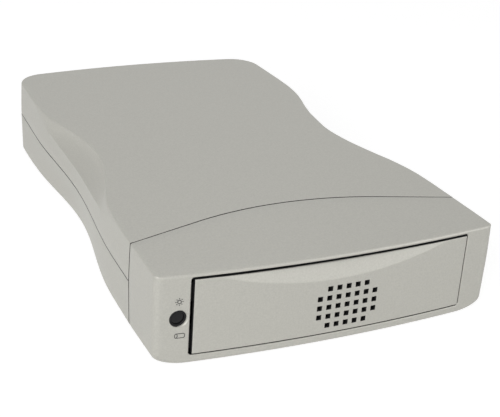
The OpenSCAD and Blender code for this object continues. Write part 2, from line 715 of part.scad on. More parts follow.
// Cast base of the drive, with the disc well, the arm bay, the board's recess and the connector's notch
lid_t = 1;
casting_top = drive_z + drive_h - lid_t;
recess_d = 3.2;
rail_w = 7;
rail_end = 8;
well_floor = 3;
well_z = drive_z + recess_d + well_floor;
disc_gap = 1;
disc_y = drive_y0 + drive_w / 2;
bay_half = 44;
bay_end = 14;
pin_r = 2.5;
pin_h = 15;
conn_d = 9;
conn_h = 9;
conn_lift = 0.5;
conn_z = drive_z + conn_lift;
conn_left = 44;
conn_split = 14;
conn_right = 42;
power_left = 18;
arm_x = 28;
arm_back = 59;
arm_y = disc_y + arm_back;
lid_inset = 4;
lid_mid_inset = 2.2;
lid_screw_r = 1;
lid_screw_l = 5;
lid_head_r = 1.8;
lid_head_h = 0.8;
lid_places = concat([for (sx = [-1, 1]) for (y = [drive_y0 + lid_inset, drive_y1 - lid_inset])
                        [sx * (drive_w / 2 - lid_inset), y]],
                    [for (sx = [-1, 1]) [sx * (drive_w / 2 - lid_mid_inset), disc_y + disc_r + lid_inset]]);
module drive_casting() {
    color(cast_alloy) {
        difference() {
            block([-drive_w / 2, drive_y0, drive_z], [drive_w / 2, drive_y1, casting_top]);
            block([rail_w - drive_w / 2, drive_y0 + rail_end, drive_z - over],
                  [drive_w / 2 - rail_w, drive_y1 - conn_d, drive_z + recess_d]);
            block([-conn_left - slip, drive_y1 - conn_d - slip, drive_z - over],
                  [conn_right + slip, drive_y1 + over, conn_z + conn_h + slip]);
            rod_z([0, disc_y, well_z], disc_r + disc_gap, casting_top);
            block([-bay_half, disc_y, well_z], [bay_half, drive_y1 - bay_end, casting_top + over]);
            for (y = side_places) for (side = [-1, 1])
                rod_x([side * drive_w / 2 - drive_screw_l - over, y, side_hole_z], drive_screw_r + play,
                      2 * (drive_screw_l + over));
            for (p = lid_places) rod_z([p[0], p[1], casting_top - lid_screw_l - over], lid_screw_r + play,
                                       lid_screw_l + 2 * over);
        }
        rod_z([0, disc_y, well_z - over], pin_r, pin_h + over);
        rod_z([arm_x, arm_y, well_z - over], pin_r, pin_h + over);
    }
}
module drive_lid() {
    color(steel) difference() {
        block([-drive_w / 2, drive_y0, casting_top], [drive_w / 2, drive_y1, casting_top + lid_t]);
        for (p = lid_places) rod_z([p[0], p[1], casting_top - over], lid_head_r + play, lid_t + 2 * over);
    }
}
module drive_lid_screws() {
    color(steel) for (p = lid_places) translate([p[0], p[1], casting_top])
        screw(lid_screw_r, lid_screw_l, lid_head_r, lid_head_h);
}

// Spindle hub with two discs, and the head arm with three blades and its coil between the magnet's plates
hub_r = 12.5;
hub_lift = 0.4;
hub_h = 13.6;
disc_t = 1.2;
disc_lifts = [5, 10];
arm_len = 51;
arm_park = 13.9;
arm_hub_r = 7;
arm_tip_w = 4;
arm_t = 1;
arm_lifts = [3, 7.6, 12.4];
coil_r0 = 9;
coil_r1 = 18.5;
coil_spread = 20;
coil_lift = 5.6;
coil_t = 2.4;
yoke_t = 2.6;
yoke_lift = 10;
yoke_gap = 1.5;
yoke_right = 13;
yoke_y0 = arm_y + coil_r0;
yoke_y1 = arm_y + coil_r1 + yoke_gap + yoke_t;
module drive_discs() {
    color([0.85, 0.86, 0.88]) difference() {
        union() {
            rod_z([0, disc_y, well_z + hub_lift], hub_r, hub_h);
            for (lift = disc_lifts) rod_z([0, disc_y, well_z + lift], disc_r, disc_t);
        }
        rod_z([0, disc_y, well_z - over], pin_r + play, pin_h + 3 * over);
    }
}
module drive_head_arm() {
    color(cast_alloy) translate([arm_x, arm_y, well_z])
        rotate([0, 0, arm_park - 90 - atan(arm_x / arm_back)]) difference() {
            union() {
                translate([0, 0, hub_lift]) cylinder(r = arm_hub_r, h = hub_h);
                for (lift = arm_lifts) translate([0, 0, lift]) linear_extrude(arm_t)
                    polygon([[0, -arm_hub_r], [arm_len, -arm_tip_w / 2], [arm_len, arm_tip_w / 2], [0, arm_hub_r]]);
                translate([0, 0, coil_lift]) linear_extrude(coil_t)
                    polygon([[0, -arm_hub_r / 2], [-coil_r1 * cos(coil_spread), -coil_r1 * sin(coil_spread)],
                             [-coil_r1, 0], [-coil_r1 * cos(coil_spread), coil_r1 * sin(coil_spread)],
                             [0, arm_hub_r / 2]]);
            }
            translate([0, 0, -over]) cylinder(r = pin_r + play, h = pin_h + 3 * over);
        }
}
module drive_magnet() {
    x0 = arm_x - coil_r1;
    x1 = arm_x + yoke_right;
    color(steel) {
        block([x0, yoke_y0, well_z], [x1, yoke_y1, well_z + yoke_t]);
        block([x0, yoke_y0, well_z + yoke_lift], [x1, yoke_y1, well_z + yoke_lift + yoke_t]);
        block([x0, yoke_y1 - yoke_t / 2, well_z], [x1, yoke_y1, well_z + yoke_lift + yoke_t]);
    }
}

// Drive's circuit board with its chips, and its two connector blocks
board_lift = 0.6;
board_clear = 2;
drive_board_t = 1.2;
chip_t = 1.2;
chip_w = 14;
socket_wall = 1.2;
socket_d = 6;
module chip() {
    block([-chip_w / 2, -chip_w / 2, 0], [chip_w / 2, chip_w / 2, chip_t]);
}
module drive_board() {
    z = drive_z + board_lift;
    half = drive_w / 2 - rail_w - board_clear;
    color(board_green) {
        block([-half, drive_y0 + rail_end + board_clear, z], [half, drive_y1 - conn_d, z + drive_board_t]);
        for (side = [-1, 1]) for (quarter = [1 : 3])
            translate([side * half / 2, drive_y0 + quarter * drive_l / 4, z + drive_board_t]) chip();
    }
}
module socket_block(x0, x1) {
    difference() {
        block([x0, drive_y1 - conn_d, conn_z], [x1, drive_y1, conn_z + conn_h]);
        block([x0 + socket_wall, drive_y1 - socket_d, conn_z + socket_wall],
              [x1 - socket_wall, drive_y1 + over, conn_z + conn_h - socket_wall]);
    }
}
module drive_connector() {
    color(black_plastic) {
        socket_block(-conn_left, conn_split);
        socket_block(power_left, conn_right);
    }
}

// Converter board in an L shape, with the ribbon's header, its chips and crystal, and the two ports
header_l = 9;
header_h = 8.6;
header_edge = 0.5;
ribbon_half = 25.4;
ribbon_x = bridge_x0 + header_edge + socket_wall + ribbon_half;
crystal_r = 2;
port_z = board_z + board_t;
port_stand = 0.6;
port_wall = 0.5;
port_floor = 2;
usb_x = -13;
usb_w = 12;
usb_h = 11;
usb_d = 16.2;
fire_x = 2.5;
fire_w = 13;
fire_h = 7;
fire_d = 14;
usb_tongue_w = 5.6;
usb_tongue_h = 3.2;
fire_tongue_w = 7;
fire_tongue_h = 2;
tongue_back = 1.4;
module bridge_board() {
    color(board_green) difference() {
        translate([0, 0, board_z]) linear_extrude(board_t)
            polygon([[bridge_x0, bridge_y0], [bridge_x1, bridge_y0], [bridge_x1, bridge_y1],
                     [bridge_neck_x, bridge_y1], [bridge_neck_x, bridge_neck_y], [bridge_x0, bridge_neck_y]]);
        for (p = bridge_holes) rod_z([p[0], p[1], board_z - over], m3_r + play, board_t + 2 * over);
    }
}
module bridge_parts() {
    half = ribbon_half + socket_wall;
    color(black_plastic) {
        difference() {
            block([ribbon_x - half, bridge_y0, port_z], [ribbon_x + half, bridge_y0 + header_l, port_z + header_h]);
            block([ribbon_x - ribbon_half, bridge_y0 - over, port_z + socket_wall],
                  [ribbon_x + ribbon_half, bridge_y0 + socket_d, port_z + header_h - socket_wall]);
        }
        for (x = [-2 * chip_w, -3 / 4 * chip_w]) translate([x, bridge_y0 + header_l + chip_w, port_z]) chip();
        rod_z([-chip_w / 2, bridge_y0 + header_l + 2 * chip_w, port_z], crystal_r, 3 * chip_t);
    }
}
module port_shell(x, w, h, d) {
    difference() {
        block([x - w / 2, panel_y1 + port_stand - d, port_z], [x + w / 2, panel_y1 + port_stand, port_z + h]);
        block([x - w / 2 + port_wall, panel_y1 + port_stand - d + port_floor, port_z + port_wall],
              [x + w / 2 - port_wall, panel_y1 + port_stand + over, port_z + h - port_wall]);
    }
}
module usb_port() {
    color(steel) port_shell(usb_x, usb_w, usb_h, usb_d);
}
module firewire_port() {
    color(steel) port_shell(fire_x, fire_w, fire_h, fire_d);
}
module tongue(x, w, h, shell_h, d) {
    z = port_z + shell_h / 2;
    block([x - w / 2, panel_y1 + port_stand - d + port_floor, z - h / 2],
          [x + w / 2, panel_y1 + port_stand - tongue_back, z + h / 2]);
}
module port_tongues() {
    color(black_plastic) {
        tongue(usb_x, usb_tongue_w, usb_tongue_h, usb_h, usb_d);
        tongue(fire_x, fire_tongue_w, fire_tongue_h, fire_h, fire_d);
    }
}

// Power supply: board, transformer, capacitors, heatsinks and the insulating sheet below
core_w = 19;
core_d = 18;
core_h = 17;
bobbin_w = 16;
bobbin_extra = 1.5;
psu_mid_x = (psu_x0 + psu_x1) / 2;
psu_mid_y = (psu_y0 + psu_y1) / 2;
bulk_r = 7.5;
bulk_h = 25;
small_r = 4;
small_h = 14;
cap_edge = 0.5;
sink_t = 2;
sink_l = 26;
sink_edge = 2;
sink_high = 22;
sink_low = 8;
sheet_t = 0.4;
sheet_side = 2;
module psu_board() {
    color([0.62, 0.50, 0.30]) difference() {
        block([psu_x0, psu_y0, board_z], [psu_x1, psu_y1, board_z + board_t]);
        for (p = psu_holes) rod_z([p[0], p[1], board_z - over], m3_r + play, board_t + 2 * over);
    }
}
module psu_transformer() {
    color([0.75, 0.65, 0.25]) translate([psu_mid_x, psu_mid_y, port_z]) {
        block([-core_w / 2, -core_d / 2, 0], [core_w / 2, core_d / 2, core_h]);
        block([-bobbin_w / 2, -core_d / 2 - bobbin_extra, core_h / 4],
              [bobbin_w / 2, core_d / 2 + bobbin_extra, 3 * core_h / 4]);
    }
}
module psu_capacitors() {
    color([0.12, 0.14, 0.22]) {
        rod_z([psu_x1 - bulk_r - cap_edge, psu_mid_y, port_z], bulk_r, bulk_h);
        for (i = [-1 : 1])
            rod_z([psu_x0 + small_r + cap_edge, psu_mid_y + i * 2 * (small_r + cap_edge), port_z], small_r, small_h);
    }
}
module psu_heatsinks() {
    color(cast_alloy) for (s = [[psu_y0 + sink_edge, sink_high], [psu_y1 - sink_edge - sink_t, sink_low]])
        block([psu_mid_x - sink_l / 2, s[0], port_z], [psu_mid_x + sink_l / 2, s[0] + sink_t, port_z + s[1]]);
}
module psu_insulator() {
    color([0.9, 0.88, 0.8]) difference() {
        block([psu_x0 - sheet_side, psu_y0, floor_z], [psu_x1, psu_y1, floor_z + sheet_t]);
        for (p = psu_holes) rod_z([p[0], p[1], floor_z - over], boss_r + slip, sheet_t + 2 * over);
    }
}
module board_screws() {
    color(steel) for (p = board_holes) translate([p[0], p[1], board_z + board_t])
        screw(m3_r, m3_l, m3_head_r, m3_head_h);
}

// Rear panel with its cut-outs: full width above its foot
panel_half = 70;
panel_foot_h = 6;
fan_x = -43;
fan_z = (floor_z + ceil_z) / 2;
fan_bore_share = 0.47;
fan_hole_share = 0.4;
fan_bore_r = fan_w * fan_bore_share;
fan_places = [for (sx = [-1, 1]) for (sz = [-1, 1]) [fan_x + sx * fan_w * fan_hole_share,
                                                     fan_z + sz * fan_w * fan_hole_share]];
switch_x = 19;
switch_w = 13;
switch_h = 19;
inlet_x = 46;
inlet_w = 27;
inlet_h = 20;
module panel_hole(x, z0, w, h, gap) {
    block([x - w / 2 - gap, panel_y0 - over, z0 - gap], [x + w / 2 + gap, panel_y1 + over, z0 + h + gap]);
}
module rear_panel() {
    color(steel) difference() {
        union() {
            block([-panel_half, panel_y0, floor_z + panel_foot_h], [panel_half, panel_y1, ceil_z - slip]);
            block([slip - rear_open_half, panel_y0, floor_z], [rear_open_half - slip, panel_y1, ceil_z - slip]);
        }
        rod_y([fan_x, panel_y0 - over, fan_z], fan_bore_r, panel_t + 2 * over);
        for (p = fan_places) rod_y([p[0], panel_y0 - over, p[1]], m3_r + play, panel_t + 2 * over);
        panel_hole(usb_x, port_z, usb_w, usb_h, slip);
        panel_hole(fire_x, port_z, fire_w, fire_h, slip);
        panel_hole(switch_x, fan_z - switch_h / 2, switch_w, switch_h, 2 * play);
        panel_hole(inlet_x, fan_z - inlet_h / 2, inlet_w, inlet_h, 2 * play);
    }
}

// Mains inlet with its shaped cavity, and three blades that pass through its floor
inlet_flange = 2.2;
inlet_flange_t = 2.4;
cavity_w = 24.4;
cavity_h = 16.4;
cavity_cut = 5;
cavity_d = 17;
blade_x = 7;
blade_drop = 2;
blade_w = 2;
blade_h = 4;
blade_tip = 1.5;
blade_tail = 8;
blades = [[-blade_x, -blade_drop], [blade_x, -blade_drop], [0, blade_drop]];
module inlet_blade(b, y0, y1, gap) {
    translate([inlet_x + b[0], 0, fan_z + b[1]])
        block([-blade_w / 2 - gap, y0, -blade_h / 2 - gap], [blade_w / 2 + gap, y1, blade_h / 2 + gap]);
}
module mains_inlet() {
    half_w = inlet_w / 2 + inlet_flange;
    half_h = inlet_h / 2 + inlet_flange;
    color(black_plastic) difference() {
        translate([inlet_x, 0, fan_z]) union() {
            block([-inlet_w / 2, panel_y0 - inlet_back, -inlet_h / 2], [inlet_w / 2, panel_y1 + over, inlet_h / 2]);
            block([-half_w, panel_y1, -half_h], [half_w, panel_y1 + inlet_flange_t, half_h]);
        }
        translate([inlet_x, panel_y1 + inlet_flange_t + over, fan_z]) rotate([90, 0, 0])
            linear_extrude(cavity_d + over)
                polygon([[-cavity_w / 2, -cavity_h / 2], [cavity_w / 2, -cavity_h / 2],
                         [cavity_w / 2, cavity_h / 2 - cavity_cut], [cavity_w / 2 - cavity_cut, cavity_h / 2],
                         [cavity_cut - cavity_w / 2, cavity_h / 2], [-cavity_w / 2, cavity_h / 2 - cavity_cut]]);
        for (b = blades) inlet_blade(b, panel_y0 - inlet_back - over, panel_y1, play);
    }
}
module inlet_pins() {
    color(brass) for (b = blades)
        inlet_blade(b, panel_y0 - inlet_back - blade_tail, panel_y1 + inlet_flange_t - blade_tip, 0);
}

// Rocker switch: a flanged body with two tabs behind, and a rocker on its own pin
switch_flange = 1.1;
switch_flange_t = 1.6;
switch_d = 12;
pocket_d = 7;
switch_tab_w = 4.8;
switch_tab_t = 0.8;
switch_tab_l = 9;
switch_tab_z = 5;
rocker_w = 10;
rocker_h = 16;
rocker_gap = 0.4;
rocker_pin_r = 1.2;
rocker_in = 1.4;
rocker_y = panel_y1 - rocker_in;
rocker_out = 3.4;
rocker_dip = 1.2;
rocker_back = 3.2;
pin_hidden = 0.5;
module switch_body() {
    half_w = switch_w / 2 + switch_flange;
    half_h = switch_h / 2 + switch_flange;
    color(black_plastic) translate([switch_x, 0, fan_z]) difference() {
        union() {
            block([-switch_w / 2, panel_y0 - switch_d, -switch_h / 2], [switch_w / 2, panel_y1 + over, switch_h / 2]);
            block([-half_w, panel_y1, -half_h], [half_w, panel_y1 + switch_flange_t, half_h]);
            for (side = [-1, 1]) translate([0, panel_y0 - switch_d, side * switch_tab_z])
                block([-switch_tab_w / 2, -switch_tab_l, -switch_tab_t / 2], [switch_tab_w / 2, over, switch_tab_t / 2]);
        }
        block([-rocker_w / 2 - rocker_gap, panel_y1 - pocket_d, -rocker_h / 2 - rocker_gap],
              [rocker_w / 2 + rocker_gap, panel_y1 + switch_flange_t + over, rocker_h / 2 + rocker_gap]);
        rod_x([pin_hidden - switch_w / 2, rocker_y, 0], rocker_pin_r + play, switch_w - 2 * pin_hidden);
    }
}
module switch_rocker() {
    half = rocker_h / 2 - rocker_gap;
    pin_l = switch_w - 2 * pin_hidden - rocker_gap;
    color(black_plastic) translate([switch_x, rocker_y, fan_z]) rotate([-rocker_swing / 2, 0, 0]) {
        translate([-rocker_w / 2, 0, 0]) rotate([90, 0, 90]) linear_extrude(rocker_w)
            polygon([[rocker_out, half], [0, half], [-rocker_back, rocker_back], [-rocker_back, -rocker_back],
                     [0, -half], [rocker_out, -half], [rocker_out - rocker_dip, 0]]);
        rod_x([-pin_l / 2, 0, 0], rocker_pin_r, pin_l);
    }
}

// Fan: square frame with a motor plate on three struts, the rotor on its pin, guard and screws
motor_r_share = 0.26;
motor_r = fan_w * motor_r_share;
motor_t = 1.5;
strut_w = 2.4;
fan_pin_r = 1.5;
fan_pin_l = 6;
rotor_gap = 0.4;
rotor_tip = 0.5;
rotor_y0 = panel_y0 - fan_t + rotor_gap;
rotor_l = fan_t - motor_t - 2 * rotor_gap;
fan_blade_count = 7;
fan_blade_t = 1.2;
fan_blade_tilt = 40;
fan_blade_l = 8.4;
guard_t = 1;
guard_w = 1.4;
guard_radii = [fan_w / 8, fan_w / 4, 3 * fan_w / 8, fan_bore_r + guard_w / 2];
eye_r = 3.2;
module fan_frame() {
    color(black_plastic) {
        difference() {
            block([fan_x - fan_w / 2, panel_y0 - fan_t, fan_z - fan_w / 2],
                  [fan_x + fan_w / 2, panel_y0, fan_z + fan_w / 2]);
            rod_y([fan_x, panel_y0 - fan_t - over, fan_z], fan_bore_r, fan_t + 2 * over);
            for (p = fan_places) rod_y([p[0], panel_y0 - fan_t - over, p[1]], m3_r + play, fan_t + 2 * over);
        }
        rod_y([fan_x, panel_y0 - motor_t, fan_z], motor_r, motor_t);
        rod_y([fan_x, panel_y0 - motor_t - fan_pin_l, fan_z], fan_pin_r, fan_pin_l + motor_t / 2);
        for (a = [30, 150, 270]) translate([fan_x, panel_y0 - motor_t, fan_z]) rotate([0, a, 0])
            block([motor_r - over, 0, -strut_w / 2], [fan_bore_r + over / 2, motor_t, strut_w / 2]);
    }
}
module fan_rotor() {
    color([0.13, 0.13, 0.14]) difference() {
        union() {
            rod_y([fan_x, rotor_y0, fan_z], motor_r - rotor_tip, rotor_l);
            intersection() {
                rod_y([fan_x, rotor_y0, fan_z], fan_bore_r - rotor_tip, rotor_l);
                for (i = [0 : fan_blade_count - 1]) translate([fan_x, rotor_y0 + rotor_l / 2, fan_z])
                    rotate([0, 360 * i / fan_blade_count, 0]) rotate([fan_blade_tilt, 0, 0])
                        block([motor_r - 2 * over, -fan_blade_l / 2, -fan_blade_t / 2],
                              [fan_bore_r, fan_blade_l / 2, fan_blade_t / 2]);
            }
        }
        rod_y([fan_x, rotor_y0 + over, fan_z], fan_pin_r + play, fan_t);
    }
}
module fan_guard() {
    arm = fan_w * fan_hole_share * sqrt(2);
    color(steel) difference() {
        union() {
            for (r = guard_radii) difference() {
                rod_y([fan_x, panel_y1, fan_z], r, guard_t);
                rod_y([fan_x, panel_y1 - over, fan_z], r - guard_w, guard_t + 2 * over);
            }
            for (a = [45, 135]) translate([fan_x, panel_y1, fan_z]) rotate([0, a, 0])
                block([-arm, 0, -guard_w / 2], [arm, guard_t, guard_w / 2]);
            for (p = fan_places) rod_y([p[0], panel_y1, p[1]], eye_r, guard_t);
        }
        for (p = fan_places) rod_y([p[0], panel_y1 - over, p[1]], m3_r + play, guard_t + 2 * over);
    }
}
module fan_screws() {
    color(steel) for (p = fan_places) translate([p[0], panel_y1 + guard_t, p[1]]) rotate([-90, 0, 0])
        screw(m3_r, guard_t + panel_t + fan_t, m3_head_r, m3_head_h);
}

// Flat cable with a plug at each end, from the drive to the converter board
plug_gap = 0.2;
plug_out = 3;
ribbon_t = 0.9;
ribbon_rise = 9;
drive_plug_z = conn_z + conn_h / 2;
header_z = port_z + header_h / 2;
module ribbon_plug(y0, y1, z, h) {
    half = ribbon_half - plug_gap;
    half_h = h / 2 - socket_wall - plug_gap;
    block([ribbon_x - half, y0, z - half_h], [ribbon_x + half, y1, z + half_h]);
}
module data_ribbon() {
    from_y = drive_y1 + plug_out;
    to_y = bridge_y0 - plug_out;
    line = hump([from_y, drive_plug_z], [to_y, header_z], ribbon_rise);
    last = len(line) - 1;
    sides = [for (i = [0 : last]) let (d = unit(line[min(i + 1, last)] - line[max(i - 1, 0)]))
        ribbon_t / 2 * [-d[1], d[0]]];
    color([0.6, 0.61, 0.63]) {
        ribbon_plug(drive_y1 - socket_d + plug_gap, from_y, drive_plug_z, conn_h);
        ribbon_plug(to_y, bridge_y0 + socket_d - plug_gap, header_z, header_h);
        translate([ribbon_x - ribbon_half + socket_wall, 0, 0]) rotate([90, 0, 90])
            linear_extrude(2 * (ribbon_half - socket_wall))
                polygon(concat([for (i = [0 : last]) line[i] + sides[i]],
                               [for (i = [last : -1 : 0]) line[i] - sides[i]]));
    }
}

// Four wires with a plug at each end, from the power supply to the drive
wire_r = 0.9;
wire_pitch = 5.08;
lead_rise = 12;
lead_end_lift = 3;
lead_plug_l = 3;
lead_plug_in = 1;
module power_lead() {
    mid_x = (power_left + conn_right) / 2;
    half = (conn_right - power_left) / 2 - socket_wall - plug_gap;
    half_h = conn_h / 2 - socket_wall - plug_gap;
    from_y = drive_y1 + plug_out;
    to_y = psu_y0 - lead_plug_l;
    end_z = port_z + lead_end_lift;
    color([0.7, 0.6, 0.15]) {
        block([mid_x - half, drive_y1 - socket_d + plug_gap, drive_plug_z - half_h],
              [mid_x + half, from_y, drive_plug_z + half_h]);
        block([mid_x - half, to_y, port_z], [mid_x + half, psu_y0 + lead_plug_in, end_z + lead_end_lift]);
        for (i = [-1.5 : 1.5])
            tube([for (p = hump([from_y - over, drive_plug_z], [to_y + over, end_z], lead_rise))
                  [mid_x + i * wire_pitch, p[0], p[1]]], wire_r, [1, 0, 0]);
    }
}

// Two mains wires, from the inlet's blades to the switch's tabs
mains_r = 1.1;
mains_sag = 2;
module mains_wire(from, to, sag) {
    tube([for (i = [0 : hump_steps]) let (u = i / hump_steps)
          from + (to - from) * (1 - cos(180 * u)) / 2 - [0, sag * pow(sin(180 * u), 2), 0]], mains_r, [0, 0, 1]);
}
module mains_leads() {
    tail_y = panel_y0 - inlet_back - blade_tail - mains_r;
    tab_y = panel_y0 - switch_d - switch_tab_l - mains_r;
    color([0.35, 0.2, 0.12]) for (side = [-1, 1])
        mains_wire([inlet_x + side * blade_x, tail_y, fan_z - blade_drop],
                   [switch_x, tab_y, fan_z + side * switch_tab_z], mains_sag * (3 + side) / 2);
}

// Pieces drawn one at a time, or all together
top_cover();
bottom_shell();
front_bezel();
front_plate();
indicator_bush();
indicator_lens();
indicator_board();
indicator_leds();
rubber_feet();
case_screws();
drive_cradle();
cradle_screws();
drive_casting();
drive_lid();
drive_lid_screws();
drive_discs();
drive_head_arm();
drive_magnet();
drive_board();
drive_connector();
drive_side_screws();
bridge_board();
bridge_parts();
usb_port();
firewire_port();
port_tongues();
psu_board();
psu_transformer();
psu_capacitors();
psu_heatsinks();
psu_insulator();
board_screws();
rear_panel();
mains_inlet();
inlet_pins();
switch_body();
switch_rocker();
fan_frame();
fan_rotor();
fan_guard();
fan_screws();
data_ribbon();
power_lead();
mains_leads();
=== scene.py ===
"""Hard drive enclosure: painted shells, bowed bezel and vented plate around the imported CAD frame."""

import logging
from dataclasses import dataclass
from enum import Enum
from typing import Callable, Sequence

import bpy
import numpy as np
from mathutils import Matrix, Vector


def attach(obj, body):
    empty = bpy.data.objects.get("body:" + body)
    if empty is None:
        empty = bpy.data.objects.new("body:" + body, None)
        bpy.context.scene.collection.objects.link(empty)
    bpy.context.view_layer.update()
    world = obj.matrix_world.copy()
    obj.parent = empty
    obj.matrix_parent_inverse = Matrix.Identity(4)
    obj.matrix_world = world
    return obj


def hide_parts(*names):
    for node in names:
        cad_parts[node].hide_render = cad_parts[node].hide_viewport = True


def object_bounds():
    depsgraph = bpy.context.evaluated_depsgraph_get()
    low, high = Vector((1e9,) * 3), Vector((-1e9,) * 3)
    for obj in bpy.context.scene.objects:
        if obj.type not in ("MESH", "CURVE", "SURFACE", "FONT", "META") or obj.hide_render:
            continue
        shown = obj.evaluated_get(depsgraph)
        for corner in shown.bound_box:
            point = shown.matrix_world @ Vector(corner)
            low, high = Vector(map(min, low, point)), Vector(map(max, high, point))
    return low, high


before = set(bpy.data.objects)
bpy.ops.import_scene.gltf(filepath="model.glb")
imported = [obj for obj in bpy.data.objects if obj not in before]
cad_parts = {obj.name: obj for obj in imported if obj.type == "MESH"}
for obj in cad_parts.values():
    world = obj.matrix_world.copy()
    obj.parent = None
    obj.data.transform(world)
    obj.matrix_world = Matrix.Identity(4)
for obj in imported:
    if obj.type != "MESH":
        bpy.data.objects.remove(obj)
CAD_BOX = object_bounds()
LOG = logging.getLogger("enclosure")
MM = 0.001
# How far a cut runs past the surface that it opens, in millimetres
OVER = 1.0
# Least share of a normal along an axis for a face that looks mainly, or almost wholly, that way
STEEP = 0.7
FLAT = 0.9
# Points along half of a lid's curved front edge, round a rod and round a screw hole, and digits kept
EDGE_STEPS = 24
ROD_STEPS = 48
HOLE_STEPS = 32
DIGITS = 6
# Dark plastic where the paint doesn't reach, also laid on as painted shade in the gaps, the seams, the vent
# holes and the inside seen through them
BARE_PLASTIC_AND_SHADE = (0.018, 0.018, 0.019, 1)
# Where most of a noise's values lie, and how far a brushed finish's noise is stretched along its streaks
NOISE_LOW, NOISE_HIGH = 0.3, 0.7
STREAK = 0.04
Array = np.ndarray
Profile = Sequence[tuple[float, float]]
Solid = tuple[Array, list]


# Mesh helpers

def make_mesh(name: str, points: Array, faces: Sequence[Sequence[int]],
              crease: float = 30.0) -> bpy.types.Object:
    """Put points and faces into a new smooth-shaded object at the origin.

    Args:
        name: name of the piece.
        points: N x 3 positions in millimetres, in the row frame.
        faces: vertex numbers of each face, anticlockwise from outside.
        crease: edges that bend by more than this many degrees stay sharp.

    Returns:
        The new object, linked to the scene.
    """
    mesh = bpy.data.meshes.new(name)
    mesh.from_pydata((np.asarray(points, float) * MM).tolist(), [], [list(f) for f in faces])
    mesh.validate()
    mesh.polygons.foreach_set("use_smooth", np.ones(len(mesh.polygons), bool))
    mesh.set_sharp_from_angle(angle=np.radians(crease))
    mesh.update()
    piece = bpy.data.objects.new(name, mesh)
    bpy.context.scene.collection.objects.link(piece)
    return piece


def grid_faces(rows: int, columns: int, start: int = 0, wrap_rows: bool = False, wrap_columns: bool = False,
               flip: bool = False) -> Array:
    """Quads of a grid: face (i, j) joins points (i, j), (i, j + 1), (i + 1, j + 1) and (i + 1, j).

    Args:
        rows: number of rows of points.
        columns: number of points in a row.
        start: number of the grid's first point.
        wrap_rows: join the last row to the first.
        wrap_columns: join the last column to the first.
        flip: turn every face over.

    Returns:
        One row of four vertex numbers per face.
    """
    i, j = np.meshgrid(np.arange(rows if wrap_rows else rows - 1),
                       np.arange(columns if wrap_columns else columns - 1), indexing="ij")
    i1, j1 = (i + 1) % rows, (j + 1) % columns
    corners = (i * columns + j, i * columns + j1, i1 * columns + j1, i1 * columns + j)
    quads = np.stack(corners, -1).reshape(-1, 4)
    return (quads[:, ::-1] if flip else quads) + start


def revolve(profile: Profile, centre: Sequence[float], axis: int, steps: int = 64) -> Solid:
    """A closed solid of revolution: each profile point (along, radius) runs round the axis.

    The point at angle a is centre + along * axis + radius * (cos a, sin a) in the two other axes.
    The first and last profile points have radius zero.

    Args:
        profile: (along, radius) pairs from one pole to the other.
        centre: origin of the profile, in millimetres.
        axis: 0, 1 or 2 for X, Y or Z.
        steps: points round the axis.

    Returns:
        Points and faces.
    """
    line = np.asarray(profile, float)
    a = np.linspace(0, 2 * np.pi, steps, endpoint=False)
    inner = line[1:-1]
    u, v = (axis + 1) % 3, (axis + 2) % 3
    ring = np.zeros((len(inner), steps, 3))
    ring[..., axis] = inner[:, :1]
    ring[..., u] = inner[:, 1:] * np.cos(a)
    ring[..., v] = inner[:, 1:] * np.sin(a)
    poles = np.zeros((2, 3))
    poles[0, axis], poles[1, axis] = line[0, 0], line[-1, 0]
    points = np.concatenate([ring.reshape(-1, 3), poles]) + np.asarray(centre, float)
    faces = grid_faces(len(inner), steps, wrap_columns=True).tolist()
    first, last, n = len(inner) * steps, len(inner) * steps + 1, (len(inner) - 1) * steps
    k = np.arange(steps)
    faces += np.stack([np.full(steps, first), (k + 1) % steps, k], -1).tolist()
    faces += np.stack([np.full(steps, last), n + k, n + (k + 1) % steps], -1).tolist()
    if line[-1, 0] > line[0, 0]:
        return points, faces
    return points, [f[::-1] for f in faces]


def rod(spot: tuple[float, float], low: float, high: float, r: float, steps: int = ROD_STEPS) -> Solid:
    """An upright cylinder between two heights, as a solid of revolution.

    Args:
        spot: x and y of its middle line.
        low: height of its lower end.
        high: height of its upper end.
        r: its radius.
        steps: points round it.

    Returns:
        Points and faces.
    """
    return revolve([(low, 0), (low, r), (high, r), (high, 0)], (*spot, 0), 2, steps)


def boxes(corners: Sequence[tuple[Sequence[float], Sequence[float]]]) -> Solid:
    """Plain closed boxes between pairs of corners.

    Args:
        corners: (low, high) corner pairs in millimetres.

    Returns:
        Points and outward faces of all boxes together.
    """
    unit = np.array([[x, y, z] for x in (0, 1) for y in (0, 1) for z in (0, 1)], float)
    quads = np.array([[0, 1, 3, 2], [4, 6, 7, 5], [0, 4, 5, 1], [2, 3, 7, 6], [0, 2, 6, 4], [1, 5, 7, 3]])
    low, high = np.moveaxis(np.array(corners, float), 1, 0)
    points = (low[:, None] + unit * (high - low)[:, None]).reshape(-1, 3)
    faces = np.concatenate([quads + 8 * k for k in range(len(corners))])
    return points, faces.tolist()


def joined(parts: Sequence[Solid]) -> Solid:
    """Put several solids together as one.

    Args:
        parts: points and faces of each solid.

    Returns:
        Points and faces of all of them.
    """
    points, faces, start = [], [], 0
    for p, f in parts:
        points.append(np.asarray(p, float))
        faces += [[i + start for i in face] for face in f]
        start += len(p)
    return np.concatenate(points), faces


